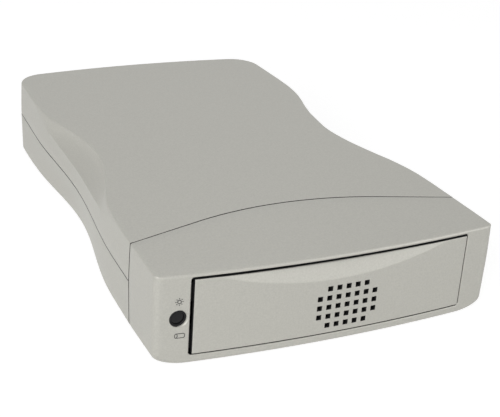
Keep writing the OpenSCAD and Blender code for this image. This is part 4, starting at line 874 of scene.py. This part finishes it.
@dataclass
class Base:
    """Lower tray: its own waist, rounded underside edge, posts, bosses and the panel's stop."""

    form: CaseForm
    wall_shares: tuple[float, ...] = (0.25, 0.5, 0.75)
    round_steps: int = 11
    ear_x: float = 61.5
    ear_runs: tuple[float, ...] = (74.0, 176.0)
    ear_h: float = 6.0
    board_spots: tuple[tuple[float, float], ...] = ((-40, 117.2), (6, 80.2), (-17, 117.2), (19, 76.2),
                                                    (19, 108.2), (62, 76.2), (62, 108.2))
    board_h: float = 8.0
    boss_r: float = 3.5
    stop_x: tuple[float, float] = (-18.0, 62.0)
    stop_t: float = 1.6
    stop_h: float = 3.0
    seat_r: float = 3.1
    seat_z: float = 4.2

    def levels(self, y: Array) -> list[tuple[Array, Array]]:
        """Inset and height of each ring from the seam down the wall and round a quarter ellipse to the floor.

        Args:
            y: depth of each outline point.

        Returns:
            One (inset, height) pair of arrays per ring.
        """
        f = self.form
        full = f.base_inset + f.base_waist * wave(y, f.face_y + f.base_waist_run, f.base_waist_len)
        round_z = f.stand + f.base_round_h
        rings = f.seam_rings(y, f.seam_z - f.seam_gap / 2, -1)
        for share in self.wall_shares:
            rings.append((full * share, 0 * y + f.seam_z + (round_z - f.seam_z) * share))
        for a in np.radians(np.linspace(0, 90, self.round_steps)):
            drawn_in = full + f.base_round_w * (1 - np.cos(a))
            rings.append((drawn_in, 0 * y + round_z - f.base_round_h * np.sin(a)))
        rings.append((rings[-1][0] + f.lid_step, rings[-1][1]))
        return rings

    def build(self) -> bpy.types.Object:
        """Make the tray, raise its posts and bosses, and cut the screw seats and the rear opening.

        Returns:
            The dressed piece.
        """
        f = self.form
        y = f.outline()[1]
        rings = self.levels(y)
        outer = [f.ring(i, z) for i, z in rings]
        inner = [f.ring(i + f.wall, z + (f.wall if k > 5 else 0)) for k, (i, z) in enumerate(rings)]
        piece = shell("case_base", f, outer, inner, False, False)
        low = f.floor_z - f.wall / 2
        ears = [(side * self.ear_x, f.face_y + run) for side in (-1, 1) for run in self.ear_runs]
        kinds = ((f.posts, f.post_r, f.meet_z), (ears, self.boss_r, self.ear_h),
                 (self.board_spots, self.boss_r, self.board_h))
        rods = [rod(p, low, top, r) for spots, r, top in kinds for p in spots]
        stop = boxes([((self.stop_x[0], f.panel_y0 - self.stop_t, low),
                       (self.stop_x[1], f.panel_y0, f.floor_z + self.stop_h))])
        carve(piece, joined(rods + [stop]), "UNION")
        high = f.meet_z + OVER
        seat = [(-OVER, 0), (-OVER, self.seat_r), (self.seat_z, self.seat_r), (self.seat_z, f.screw_hole_r),
                (high, f.screw_hole_r), (high, 0)]
        holes = [revolve(seat, (*p, 0), 2, ROD_STEPS) for p in f.posts]
        gap = boxes([((-f.rear_open_half, f.panel_y0, f.floor_z),
                      (f.rear_open_half, f.back_y + OVER, f.body_h))])
        carve(piece, joined(holes + [gap]))
        # Dark plastic inside, on the inner floor and on the end wall at the joint: unpainted plastic, and
        # painted shade in the seam and the inside
        bare_and_shade_faces(piece, lambda c, n: f.inner_faces(c, n) | f.joint_shade_faces(c, n)
                   | ((n[:, 2] > FLAT) & (c[:, 1] < f.panel_y1)))
        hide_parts("bottom_shell")
        return dress(piece, PAINT, "case")


@dataclass
class Bezel:
    """Bowed front frame: rounded front edges, the rounded opening, the window's hole, guides and catches."""

    form: CaseForm
    wall: float = 1.6
    open_r: float = 1.6
    lip: float = 0.55
    front_r: float = 1.6
    corner_r: float = 3.4
    round_w: float = 15.0
    round_h: float = 5.5
    window_r: float = 4.25
    window_steps: int = 96
    flare: Profile = ((-2.0, 2.2), (0.0, 0.25), (0.1, 0.1), (0.4, 0.0), (3.5, 0.0))
    steps: tuple[int, ...] = (46, 7, 14, 12, 30)
    lip_steps: int = 6
    face_shares: tuple[float, ...] = (0.08, 0.35, 0.65, 0.92)
    edge_steps: int = 9
    skin_steps: tuple[tuple[float, float], ...] = ((0.2, 0), (0.4, 0), (0.6, 0), (0.8, 0), (0.984, 0),
                                                   (0.995, 0.12), (1.0, 0.45))
    # Where the bezel's inner and rear faces turn to dark plastic: unpainted plastic, and painted shade in the
    # opening's gaps and at the joint
    bare_and_shade_depth: float = 0.6
    bare_and_shade_y: float = -110.0
    guide_t: float = 1.7
    guide_half: float = 3.3
    guide_run: float = 9.0
    guide_in: float = 6.7
    guide_out: float = 4.0
    guide_back: float = 3.0
    guide_lip: float = 2.0
    guide_root: float = 6.1
    catch_x: float = 50.0
    catch_half: float = 7.0
    catch_run: float = 8.0
    catch_z: tuple[float, float] = (2.9, 5.6)
    catch_step: float = 0.6
    catch_cut: float = 3.0
    catch_t: float = 2.0
    catch_top: float = 1.7
    fitting_edge: float = 0.25

    def __post_init__(self) -> None:
        """Lay out the parameter h along half the ring: top, top edge, side, round, underside."""
        zones = [np.linspace(k, k + 1, count, endpoint=False) for k, count in enumerate(self.steps)]
        self.h = np.concatenate([*zones, [len(self.steps)]])

    def section(self, v: float, tx: Array, tz: Array) -> tuple[Array, Array]:
        """Outer section at share v of the way back: top, small edge circle, leaning side, ellipse, floor.

        Args:
            v: 0 at the front, 1 at the joint.
            tx: inset across at each point.
            tz: inset of the height at each point.

        Returns:
            x and z of the right half.
        """
        f, h = self.form, self.h
        half = f.side_half(np.array(f.face_y + (f.joint_y - f.face_y) * v)) - tx
        w = self.round_w + (f.base_round_w - self.round_w) * v
        round_z = f.stand + tz + self.round_h + (f.base_round_h - self.round_h) * v
        top_x, low_x, top_z = half - f.top_inset - f.edge_r, half - f.base_inset - w, f.body_h - tz
        a = np.pi / 2 * (h - 1)
        side_z = top_z - f.edge_r + (round_z - top_z + f.edge_r) * (h - 2)
        lean = np.where(side_z > f.seam_z, f.top_inset * ((side_z - f.seam_z) / (f.body_h - f.seam_z)) ** 2,
                        f.base_inset * (f.seam_z - side_z) / (f.seam_z - round_z))
        b = np.pi / 2 * (h - 3)
        zone = [h <= 1, h <= 2, h <= 3, h <= 4, h <= 5]
        x = np.select(zone, [top_x * h, top_x + f.edge_r * np.sin(a), half - lean, low_x + w * np.cos(b),
                             low_x * (5 - h)])
        z = np.select(zone, [top_z + 0 * h, top_z - f.edge_r * (1 - np.cos(a)), side_z,
                             round_z - (round_z - f.stand - tz) * np.sin(b), f.stand + tz + 0 * h])
        return x, z

    def opening(self, grow: float) -> tuple[Array, Array]:
        """Rounded opening, with one point per section point.

        Args:
            grow: distance by which it is grown outwards.

        Returns:
            x and z of the right half, x from the opening's middle.
        """
        h, r = self.h, self.open_r + grow
        half = self.form.open_w / 2 - self.open_r
        top = self.form.open_z + self.form.open_h - self.open_r
        low = self.form.open_z + self.open_r
        a, b = np.pi / 2 * (h - 1), np.pi / 2 * (h - 3)
        zone = [h <= 1, h <= 2, h <= 3, h <= 4, h <= 5]
        x = np.select(zone, [half * h, half + r * np.sin(a), half + r + 0 * h, half + r * np.cos(b),
                             half * (5 - h)])
        z = np.select(zone, [top + r + 0 * h, top + r * np.cos(a), top + (low - top) * (h - 2),
                             low - r * np.sin(b), low - r + 0 * h])
        return x, z

    def edge_radius(self) -> Array:
        """Depth of the front edge's rounding: small along top and bottom, larger at the sides.

        Returns:
            The depth at each point of the right half.
        """
        h, a, b = self.h, self.front_r, self.corner_r
        return np.select([h <= 1, h <= 2, h <= 3, h <= 4, h <= 5],
                         [a + 0 * h, a + (b - a) * (h - 1), b + 0 * h, b + (a - b) * (h - 3), a + 0 * h])

    def rings(self) -> list[tuple[Array, Array, Array, float]]:
        """Right halves of all rings, from the opening's wall round the outside and back.

        Returns:
            x, y and z arrays without the opening's shift, and the share of that shift which each ring takes.
        """
        f = self.form
        half = float(f.side_half(np.array(f.joint_y))) - f.top_inset - f.edge_r
        found = []
        for a in np.radians(np.linspace(90, 0, self.lip_steps)):
            x, z = self.opening(self.lip * (1 - np.sin(a)))
            found.append((x, f.bow(x) + self.lip * (1 - np.cos(a)), z, 1.0))
        px, pz = self.opening(self.lip)
        qx, qz = self.section(0, self.corner_r + 0 * self.h, self.front_r + 0 * self.h)
        for s in self.face_shares:
            x, z = px + (qx - px) * s, pz + (qz - pz) * s
            found.append((x, f.bow(x), z, 1 - s))
        for a in np.radians(np.linspace(0, 90, self.edge_steps)):
            x, z = self.section(0, self.corner_r * (1 - np.sin(a)), self.front_r * (1 - np.sin(a)))
            found.append((x, f.bow(x) + self.edge_radius() * (1 - np.cos(a)), z, 0.0))
        for v, tuck in self.skin_steps:
            x, z = self.section(v, tuck + 0 * self.h, tuck + 0 * self.h)
            rx, _ = self.section(1, 0 * self.h, 0 * self.h)
            rear = np.where(self.h <= 1, f.joint_line(rx, half), f.joint_y) - f.seam_gap
            front = f.bow(self.section(0, 0 * self.h, 0 * self.h)[0]) + self.edge_radius()
            found.append((x, front + (rear - front) * v, z, 0.0))
        x, z = self.section(1, self.wall + 0 * self.h, self.wall + 0 * self.h)
        found.append((x, np.where(self.h <= 1, f.joint_line(x, half), f.joint_y) - f.seam_gap, z, 0.0))
        x, z = self.section(0, self.wall + 0 * self.h, self.wall + 0 * self.h)
        found.append((x, f.bow(x) + self.wall, z, 0.0))
        x, z = self.opening(0.0)
        found.append((x, f.bow(x) + self.wall, z, 1.0))
        return found

    def build(self) -> bpy.types.Object:
        """Make the frame, add guides and catches, and cut the window's flared hole.

        Returns:
            The dressed piece.
        """
        f = self.form
        rings = []
        for x, y, z, shifted in self.rings():
            right = np.stack([x, y, z], -1)
            whole = np.concatenate([right, right[-2:0:-1] * np.array([-1, 1, 1])])
            whole[:, 0] += self.form.open_shift * shifted
            whole = np.clip(whole, *(np.array(CAD_BOX) / MM))
            rings.append(whole)
        points = np.concatenate(rings)
        faces = grid_faces(len(rings), len(rings[0]), wrap_rows=True, wrap_columns=True, flip=True)
        piece = make_mesh("bezel_frame", points, faces.tolist())
        wy = float(f.bow(np.array(self.form.window_x)))
        line = [(wy + deep, self.window_r + wider) for deep, wider in self.flare]
        flare = [(line[0][0], 0), *line, (line[-1][0], 0)]
        carve(piece, revolve(flare, (f.window_x, 0, f.window_z), 1, self.window_steps))
        # Inner and rear faces behind the front take dark plastic: unpainted plastic, and painted shade in the
        # gaps round the plate
        half, middle = f.body_w / 2, self.bare_and_shade_y
        bare_and_shade_faces(piece, lambda c, n: (faces_in(c, n, middle, middle, f.body_h / 2) | (n[:, 1] > STEEP))
                   & (c[:, 1] > f.bow(np.clip(c[:, 0], -half, half)) + self.bare_and_shade_depth))
        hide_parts("front_bezel")
        dress(piece, PAINT, "case")
        self.fittings()
        return piece

    def fittings(self) -> None:
        """Guides for the plate's tabs behind the opening, and the catches that hold the bezel to the case."""
        f = self.form
        y0 = float(f.bow(np.array(f.open_w / 2))) + self.guide_back
        y1 = y0 + self.guide_run
        h, t = self.guide_half, self.guide_t
        outer, inner = f.open_w / 2 + self.guide_out, f.open_w / 2 - self.guide_in
        parts = []
        for side in (-1, 1):
            for z in f.tab_heights:
                walls = ((inner, outer, z - h - t, z - h), (inner, outer, z + h, z + h + t),
                         (inner, inner + self.guide_lip, z - h, z + h),
                         (outer - self.guide_root, outer, z - h, z + h))
                for a, b, z0, z1 in walls:
                    x0, x1 = sorted((f.open_shift + side * a, f.open_shift + side * b))
                    parts.append(((x0, y0, z0), (x1, y1, z1)))
        top_y = float(f.joint_line(np.array(self.catch_x), float(f.side_half(np.array(f.joint_y)))))
        low_z, high_z = self.catch_z
        root_z, roof_z = f.ceil_z - self.catch_t, f.body_h - self.catch_top
        run, step, cut = self.catch_run, f.joint_y - self.catch_step, top_y - self.catch_cut
        for side in (-1, 1):
            x0, x1 = side * self.catch_x - self.catch_half, side * self.catch_x + self.catch_half
            parts += [((x0, f.joint_y - run, low_z), (x1, step, high_z)),
                      ((x0, step, f.floor_z), (x1, f.joint_y + run, high_z)),
                      ((x0, top_y - run, root_z), (x1, cut, roof_z)),
                      ((x0, cut, root_z), (x1, top_y + run, f.ceil_z))]
        piece = make_mesh("bezel_fittings", *boxes(parts))
        edge = piece.modifiers.new("edge", "BEVEL")
        edge.width, edge.segments = self.fitting_edge * MM, 2
        # Every face of the fittings takes dark plastic: unpainted plastic, and painted shade behind the bezel
        bare_and_shade_faces(piece, lambda c, n: c[:, 2] > 0)
        dress(piece, PAINT, "case")


@dataclass
class Plate:
    """Bowed vented plate: rounded edges, the tilted finger scoop with its crisp edge, holes and tabs."""

    form: CaseForm
    thick: float = 2.4
    x0: float = -72.1
    x1: float = 74.1
    z0: float = 6.0
    z1: float = 45.0
    vent_x: float = 6.5
    vent_z: float = 20.3
    pitch: float = 5.0
    hole: float = 2.7
    rows: tuple[int, ...] = (5, 7, 7, 7, 5)
    scoop_half: float = 62.0
    scoop_h: float = 10.0
    scoop_d: float = 5.5
    soft: float = 0.35
    crisp: float = 0.12
    notch: float = 0.42
    crease: float = 40.0
    edge_gap: float = 1.4
    soft_shares: tuple[float, ...] = (0.0, 0.1, 0.3, 0.6, 1.0)
    side_lines: tuple[int, int] = (34, 30)
    low_rows: tuple[float, ...] = (7.2, 8.0)
    mid_rows: tuple[float, ...] = (32.2, 32.8)
    near_rows: tuple[float, ...] = (-0.5, -0.25, -0.12, 0.0, 0.12, 0.25, 0.5)
    upper_shares: tuple[float, ...] = (0.25, 0.5, 0.75)
    tab_in: float = 3.4
    tab_t: float = 2.0
    tab_root: float = 1.2
    tab_l: float = 15.0
    tab_half: float = 3.0
    # Faces that look less forward than this take dark plastic: unpainted plastic, and painted shade in the
    # top gap and the vent holes
    bare_and_shade_slope: float = -0.3

    def __post_init__(self) -> None:
        """Work out the scoop's tilt and radius: a large cylinder tilted back towards the plate's top."""
        self.tilt = np.arctan2(self.scoop_d, self.scoop_h)
        bend = 2 * self.scoop_d / self.scoop_half ** 2 - 1 / self.form.bow_r
        self.scoop_r = 1 / (bend * np.cos(self.tilt))

    def scoop(self, x: Array, z: Array, grow: float) -> Array:
        """Depth of the scoop's cylinder.

        The cylinder's surface lies s = sqrt(r * r - x * x) - R from its tangent plane. With that plane
        tilted by t, y is s / cos t + z * tan t, where z is the height above the foot of the tilt.

        Args:
            x: places across.
            z: heights.
            grow: what is added to the cylinder's radius.

        Returns:
            y at each point.
        """
        r = self.scoop_r + grow
        s = np.sqrt(r ** 2 - (x - self.form.open_shift) ** 2) - self.scoop_r
        return -self.form.back_y + s / np.cos(self.tilt) + (z - self.z1 + self.scoop_h) * np.tan(self.tilt)

    def scoop_edge(self, x: Array) -> Array:
        """Height at which the scoop meets the bow, kept just below the plate's top where it misses it.

        Args:
            x: places across.

        Returns:
            The height at each place.
        """
        f = self.form
        s = np.sqrt(self.scoop_r ** 2 - (x - self.form.open_shift) ** 2) - self.scoop_r
        z = self.z1 - self.scoop_h + (f.bow(x) + f.back_y - s / np.cos(self.tilt)) / np.tan(self.tilt)
        return np.minimum(z, self.z1 - self.edge_gap)

    def pairs(self, middle: float, count: int) -> Array:
        """Both edges of each hole along a line.

        Args:
            middle: middle of the grille on that line.
            count: number of holes on it.

        Returns:
            The edges in order.
        """
        spots = middle + self.pitch * (np.arange(count) - (count - 1) / 2)
        return (spots[:, None] + self.hole / 2 * np.array([-1, 1])).ravel()

    def lines(self) -> tuple[Array, Array, Array]:
        """Grid lines: x across with pairs at the holes, straight rows below, and shares of the curved rows.

        Returns:
            x lines, heights of the straight rows, shares between the last straight row and the top.
        """
        soft = self.soft * np.array(self.soft_shares)
        holes_x = self.pairs(self.vent_x, max(self.rows))
        holes_z = self.pairs(self.vent_z, len(self.rows))
        left = np.linspace(self.x0 + self.soft, holes_x[0], self.side_lines[0])[1:-1]
        right = np.linspace(holes_x[-1], self.x1 - self.soft, self.side_lines[1])[1:-1]
        x = np.concatenate([self.x0 + soft, left, holes_x, right, self.x1 - soft])
        z = np.concatenate([self.z0 + soft, self.low_rows, holes_z, self.mid_rows])
        return np.unique(np.round(x, DIGITS)), np.unique(np.round(z, DIGITS)), np.array(self.near_rows)

    def build(self) -> bpy.types.Object:
        """Make the plate as two height fields with walls round the edge and through every hole.

        Returns:
            The dressed piece.
        """
        f = self.form
        x, z_low, near = self.lines()
        edge = self.scoop_edge(x)
        soft = self.soft * np.array(self.soft_shares[::-1])
        reach = near[-1]
        rows = [np.full(len(x), z) for z in z_low]
        rows.append((z_low[-1] + edge - reach) / 2)
        rows += [edge + d for d in near]
        brow = self.z1 - self.notch * np.maximum(0, self.scoop(x, self.z1, 0.0) - f.bow(x))
        rows += [edge + reach + (brow - self.soft - edge - reach) * s for s in self.upper_shares]
        rows += [brow - d for d in soft]
        z = np.stack(rows)
        xx = np.broadcast_to(x, z.shape)

        def blend(a: Array, b: Array) -> Array:
            """The deeper of two surfaces, with a rounding of the crisp size between them."""
            return 0.5 * (a + b + np.sqrt((a - b) ** 2 + self.crisp ** 2))

        def round_off(d: Array) -> Array:
            """Quarter circle of the soft radius, as depth at distance d from an edge."""
            u = np.clip(self.soft - d, 0, self.soft)
            return self.soft - np.sqrt(self.soft ** 2 - u ** 2)

        rounding = (round_off(xx - self.x0) + round_off(self.x1 - xx) + round_off(z - self.z0)
                    + round_off(brow - z))
        front = blend(f.bow(xx), self.scoop(xx, z, 0.0)) + rounding
        back = blend(f.bow(xx) + self.thick, self.scoop(xx, z, self.thick))
        m, n = z.shape
        points = np.concatenate([np.stack([xx, front, z], -1).reshape(-1, 3),
                                 np.stack([xx, back, z], -1).reshape(-1, 3)])
        quads = grid_faces(m, n)
        centre = points[quads].mean(1)
        open_cell = np.zeros(len(quads), bool)
        for row, count in enumerate(self.rows):
            hz = self.vent_z + self.pitch * ((len(self.rows) - 1) / 2 - row)
            for k in range(count):
                hx = self.vent_x + self.pitch * (k - (count - 1) / 2)
                open_cell |= (np.abs(centre[:, [0, 2]] - (hx, hz)) < self.hole / 2).all(1)
        size = m * n
        solid, holes = quads[~open_cell], quads[open_cell]
        faces = solid.tolist() + (solid[:, ::-1] + size).tolist()
        for a, b in ((0, 1), (1, 2), (2, 3), (3, 0)):
            faces += np.stack([holes[:, a], holes[:, b], holes[:, b] + size, holes[:, a] + size], -1).tolist()
        border = np.concatenate([np.arange(n), n * np.arange(1, m) + n - 1,
                                 (m - 1) * n + np.arange(n - 2, -1, -1), n * np.arange(m - 2, 0, -1)])
        turned = np.roll(border, -1)
        faces += np.stack([border + size, turned + size, turned, border], -1).tolist()
        tabs = []
        for side in (-1, 1):
            for tz in f.tab_heights:
                tx = f.open_shift + side * (f.open_w / 2 - self.tab_in)
                ty = float(f.bow(np.array(tx)))
                half = self.tab_t / 2
                tabs.append(((tx - half, ty + self.tab_root, tz - self.tab_half),
                             (tx + half, ty + self.tab_l, tz + self.tab_half)))
        piece = make_mesh("plate_shell", *joined([(points, faces), boxes(tabs)]), crease=self.crease)
        # Edges, hole walls, back and tabs take dark plastic: unpainted plastic, and painted shade in the top
        # gap and the vents
        bare_and_shade_faces(piece, lambda c, n: n[:, 1] > self.bare_and_shade_slope)
        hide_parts("front_plate")
        return dress(piece, PAINT, "plate")


@dataclass
class Indicator:
    """Round window left of the plate: bush with a rounded lip, domed lens, and the two printed marks."""

    form: CaseForm
    outer_r: float = 4.2
    inner_r: float = 3.35
    sun_z: float = 34.5
    drum_z: float = 16.7
    ink_t: float = 0.05
    ink_sink: float = 0.02
    recess: float = 0.6
    length: float = 9.0
    outer_lip: tuple[tuple[float, float], ...] = ((0.15, 0.0), (0.02, 0.12), (0.0, 0.35))
    inner_lip: tuple[tuple[float, float], ...] = ((0.04, 0.15), (0.2, 0.0))
    lens_r: float = 3.3
    lens_in: float = 1.1
    lens_rise: float = 0.25
    lens_back: float = 2.6
    round_steps: int = 96
    dome_steps: int = 9
    circle_steps: int = 40
    end_steps: int = 20
    sun_shift: float = 0.3
    sun_r: float = 0.85
    sun_line: float = 0.34
    ray: tuple[float, ...] = (1.35, 1.6, 1.95)
    rays: int = 8
    drum_shift: float = 1.0
    drum_half: float = 1.75
    drum_end: tuple[float, float] = (0.62, 1.15)
    drum_line: float = 0.32

    def build(self) -> None:
        """Make the bush, the lens and both marks."""
        y = float(self.form.bow(np.array(self.form.window_x)))
        lip = y + self.recess
        bush = [(lip + self.length, self.inner_r), (lip + self.length, self.outer_r)]
        bush += [(lip + deep, self.outer_r - step) for deep, step in self.outer_lip]
        bush += [(lip + deep, self.inner_r + step) for deep, step in self.inner_lip]
        a = np.linspace(0, 2 * np.pi, self.round_steps, endpoint=False)
        line = np.array(bush)
        across = self.form.window_x + line[:, 1:] * np.cos(a)
        upright = self.form.window_z + line[:, 1:] * np.sin(a)
        ring = np.stack([across, line[:, :1] + 0 * a, upright], -1)
        faces = grid_faces(len(line), len(a), wrap_rows=True, wrap_columns=True)
        piece = make_mesh("indicator_ring", ring.reshape(-1, 3), faces.tolist())
        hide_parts("indicator_bush")
        dress(piece, BLACK, "case")
        dome = [(y + self.lens_in + self.lens_rise * (1 - np.cos(t) ** 2), self.lens_r * np.sin(t))
                for t in np.linspace(0, np.pi / 2, self.dome_steps)]
        dome += [(y + self.lens_back, self.lens_r), (y + self.lens_back, 0)]
        place = (self.form.window_x, 0, self.form.window_z)
        piece = make_mesh("indicator_dome", *revolve(dome, place, 1, self.round_steps))
        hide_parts("indicator_lens")
        dress(piece, LENS, "case")
        self.marks()

    def strip(self, path: Array, width: float, closed: bool) -> tuple[Array, list]:
        """A flat printed line on the bezel: a path in x and z, half a width to each side, laid on the bow.

        Args:
            path: N x 2 points in x and z.
            width: width of the line.
            closed: join the last point to the first.

        Returns:
            Points and faces of the raised line.
        """
        ahead = np.roll(path, -1, 0) if closed else np.concatenate([path[1:], path[-1:]])
        behind = np.roll(path, 1, 0) if closed else np.concatenate([path[:1], path[:-1]])
        along = ahead - behind
        along /= np.linalg.norm(along, axis=1, keepdims=True)
        side = np.stack([-along[:, 1], along[:, 0]], -1) * width / 2
        section = []
        for sign, lift in ((1, self.ink_sink), (1, -self.ink_t), (-1, -self.ink_t), (-1, self.ink_sink)):
            p = path + sign * side
            section.append(np.stack([p[:, 0], self.form.bow(p[:, 0]) + lift, p[:, 1]], -1))
        points = np.stack(section, 1)
        n = len(path)
        faces = grid_faces(n, 4, wrap_rows=closed, wrap_columns=True).tolist()
        if not closed:
            faces += [[3, 2, 1, 0], [4 * n - 4, 4 * n - 3, 4 * n - 2, 4 * n - 1]]
        return points.reshape(-1, 3), faces

    def marks(self) -> None:
        """A sun above the window and a lying drum below it, as thin printed lines."""
        t = np.linspace(0, 2 * np.pi, self.circle_steps, endpoint=False)
        sun = np.array([self.form.window_x + self.sun_shift, self.sun_z])
        circle = np.stack([np.cos(t), np.sin(t)], -1)
        parts = [self.strip(sun + self.sun_r * circle, self.sun_line, True)]
        for k in range(self.rays):
            turn = k * 2 * np.pi / self.rays
            d = np.array([np.cos(turn), np.sin(turn)])
            parts.append(self.strip(sun + np.array(self.ray)[:, None] * d, self.sun_line, False))
        drum = np.array([self.form.window_x + self.drum_shift, self.drum_z])
        half, tall = np.array([self.drum_half, 0]), self.drum_end[1]
        parts.append(self.strip(drum + circle * self.drum_end - half, self.drum_line, True))
        u = np.linspace(-np.pi / 2, np.pi / 2, self.end_steps)
        tail = np.stack([np.cos(u), np.sin(u)], -1) * self.drum_end + half
        left = -self.drum_half
        body = np.concatenate([[[left, -tall], [0, -tall]], tail, [[0, tall], [left, tall]]])
        parts.append(self.strip(drum + body, self.drum_line, False))
        piece = make_mesh("indicator_marks", *joined(parts))
        dress(piece, INK, "case")


# Room

@dataclass(frozen=True)
class Lamp:
    """A square area lamp: its place, aim and side in metres, and its power in watts."""

    name: str
    at: tuple[float, float, float]
    aim: tuple[float, float, float]
    size: float
    power: float


@dataclass
class Room:
    """Camera at the photograph's angle, soft lamps, white surroundings and a pale floor."""

    eye: tuple[float, float, float] = (-0.2572, -0.5687, 0.2984)
    turn: float = -26.17
    rise: float = 24.96
    roll: float = -3.94
    lens: float = 84.9
    sensor: float = 36.0
    sight: tuple[float, float] = (0.01, 50.0)
    lamps: tuple[Lamp, ...] = (Lamp("key_lamp", (-1.2, -1.05, 0.70), (0, 0, 0), 1.2, 21.0),
                               Lamp("front_lamp", (0.75, -0.85, 0.62), (0, -0.1, 0.03), 0.45, 3.0),
                               Lamp("back_lamp", (0.3, 1.0, 1.1), (0, 0, 0), 0.9, 1.2))
    soft_light: float = 0.28
    floor_half: float = 6.0
    floor_shade: float = 0.8
    seen_shade: float = 0.35
    floor_glow: float = 0.82

    def build(self) -> None:
        """Make the camera, the lamps, the world and the floor."""
        self.camera()
        for lamp in self.lamps:
            self.hang(lamp)
        self.world()
        self.floor()
        bpy.context.scene.view_settings.view_transform = "Standard"

    def camera(self) -> None:
        """Aim the camera: back from the object by turn and rise, then rolled about its own axis."""
        a, e, r = np.radians([self.turn, self.rise, self.roll])
        back = np.array([np.sin(a) * np.cos(e), -np.cos(a) * np.cos(e), np.sin(e)])
        right = np.cross(-back, [0, 0, 1])
        right /= np.linalg.norm(right)
        down = np.cross(-back, right)
        across = np.cos(r) * right + np.sin(r) * down
        up = np.sin(r) * right - np.cos(r) * down
        data = bpy.data.cameras.new("photo_camera")
        data.sensor_width, data.sensor_fit, data.lens = self.sensor, "HORIZONTAL", self.lens
        data.clip_start, data.clip_end = self.sight
        eye = bpy.data.objects.new("photo_camera", data)
        bpy.context.scene.collection.objects.link(eye)
        eye.matrix_world = self.placed(across, up, back, self.eye)
        bpy.context.scene.camera = eye

    @staticmethod
    def placed(across: Array, up: Array, back: Array, at: Sequence[float]) -> Matrix:
        """Matrix that turns X, Y and Z to three directions and moves the origin to a point.

        Args:
            across: where X points.
            up: where Y points.
            back: where Z points.
            at: where the origin goes.

        Returns:
            The matrix.
        """
        place = np.eye(4)
        place[:3] = np.stack([across, up, back, np.array(at, float)], -1)
        return Matrix(place.tolist())

    def hang(self, lamp: Lamp) -> None:
        """Hang a lamp so that it faces its aim.

        Args:
            lamp: the lamp.
        """
        data = bpy.data.lights.new(lamp.name, "AREA")
        data.shape, data.size, data.energy = "SQUARE", lamp.size, lamp.power
        item = bpy.data.objects.new(lamp.name, data)
        bpy.context.scene.collection.objects.link(item)
        back = np.array(lamp.at, float) - np.array(lamp.aim, float)
        back /= np.linalg.norm(back)
        side = np.cross([0, 0, 1], back)
        side /= np.linalg.norm(side)
        item.matrix_world = self.placed(side, np.cross(back, side), back, lamp.at)

    @staticmethod
    def seen(tree: bpy.types.NodeTree) -> bpy.types.NodeSocket:
        """A value that is 1 for camera, glossy and transmission rays, and 0 for the rest.

        Args:
            tree: the node tree that uses it.

        Returns:
            The value.
        """
        path = tree.nodes.new("ShaderNodeLightPath")
        total = None
        for name in ("Is Camera Ray", "Is Glossy Ray", "Is Transmission Ray"):
            if total is None:
                total = path.outputs[name]
                continue
            most = tree.nodes.new("ShaderNodeMath")
            most.operation = "MAXIMUM"
            tree.links.new(total, most.inputs[0])
            tree.links.new(path.outputs[name], most.inputs[1])
            total = most.outputs[0]
        return total

    def world(self) -> None:
        """White where it is seen, and a plain soft light elsewhere."""
        world = bpy.data.worlds.new("white_room")
        world.use_nodes = True
        tree = world.node_tree
        tree.nodes.clear()
        out = tree.nodes.new("ShaderNodeOutputWorld")
        mix = tree.nodes.new("ShaderNodeMixShader")
        soft = tree.nodes.new("ShaderNodeBackground")
        soft.inputs["Color"].default_value = (1, 1, 1, 1)
        soft.inputs["Strength"].default_value = self.soft_light
        white = tree.nodes.new("ShaderNodeBackground")
        white.inputs["Color"].default_value = (1, 1, 1, 1)
        white.inputs["Strength"].default_value = 1.0
        tree.links.new(self.seen(tree), mix.inputs[0])
        tree.links.new(soft.outputs[0], mix.inputs[1])
        tree.links.new(white.outputs[0], mix.inputs[2])
        tree.links.new(mix.outputs[0], out.inputs["Surface"])
        bpy.context.scene.world = world

    def floor(self) -> None:
        """A wide pale floor that turns white where nothing shades it."""
        side = self.floor_half
        mesh = bpy.data.meshes.new("floor")
        corners = [(-side, -side, 0), (side, -side, 0), (side, side, 0), (-side, side, 0)]
        mesh.from_pydata(corners, [], [(0, 1, 2, 3)])
        floor = bpy.data.objects.new("floor", mesh)
        bpy.context.scene.collection.objects.link(floor)
        material = bpy.data.materials.new("pale_floor")
        material.use_nodes = True
        tree = material.node_tree
        tree.nodes.clear()
        out = tree.nodes.new("ShaderNodeOutputMaterial")
        mix = tree.nodes.new("ShaderNodeMixShader")
        plain = tree.nodes.new("ShaderNodeBsdfDiffuse")
        plain.inputs["Color"].default_value = (*[self.floor_shade] * 3, 1)
        thin = tree.nodes.new("ShaderNodeBsdfDiffuse")
        thin.inputs["Color"].default_value = (*[self.seen_shade] * 3, 1)
        glow = tree.nodes.new("ShaderNodeEmission")
        glow.inputs["Strength"].default_value = self.floor_glow
        both = tree.nodes.new("ShaderNodeAddShader")
        tree.links.new(thin.outputs[0], both.inputs[0])
        tree.links.new(glow.outputs[0], both.inputs[1])
        tree.links.new(self.seen(tree), mix.inputs[0])
        tree.links.new(plain.outputs[0], mix.inputs[1])
        tree.links.new(both.outputs[0], mix.inputs[2])
        tree.links.new(mix.outputs[0], out.inputs["Surface"])
        mesh.materials.append(material)


def dress_frame() -> None:
    """Give every CAD node that stays visible its finish."""
    for name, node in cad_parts.items():
        finish = NODE_FINISHES[name]
        node.data.materials.clear()
        node.data.materials.append(finish.material())
        LOG.info("%s: CAD node, finish %s", name, finish.name)


def main() -> None:
    """Build the room, dress the frame, then add the shells, the plate and the indicator."""
    logging.basicConfig(level=logging.INFO, format="%(message)s")
    form = CaseForm()
    builders: list[Callable[[], object]] = [Room().build, dress_frame, Cover(form).build, Base(form).build,
                                            Bezel(form).build, Plate(form).build, Indicator(form).build]
    for build in builders:
        build()


if __name__ == "__main__":
    main()
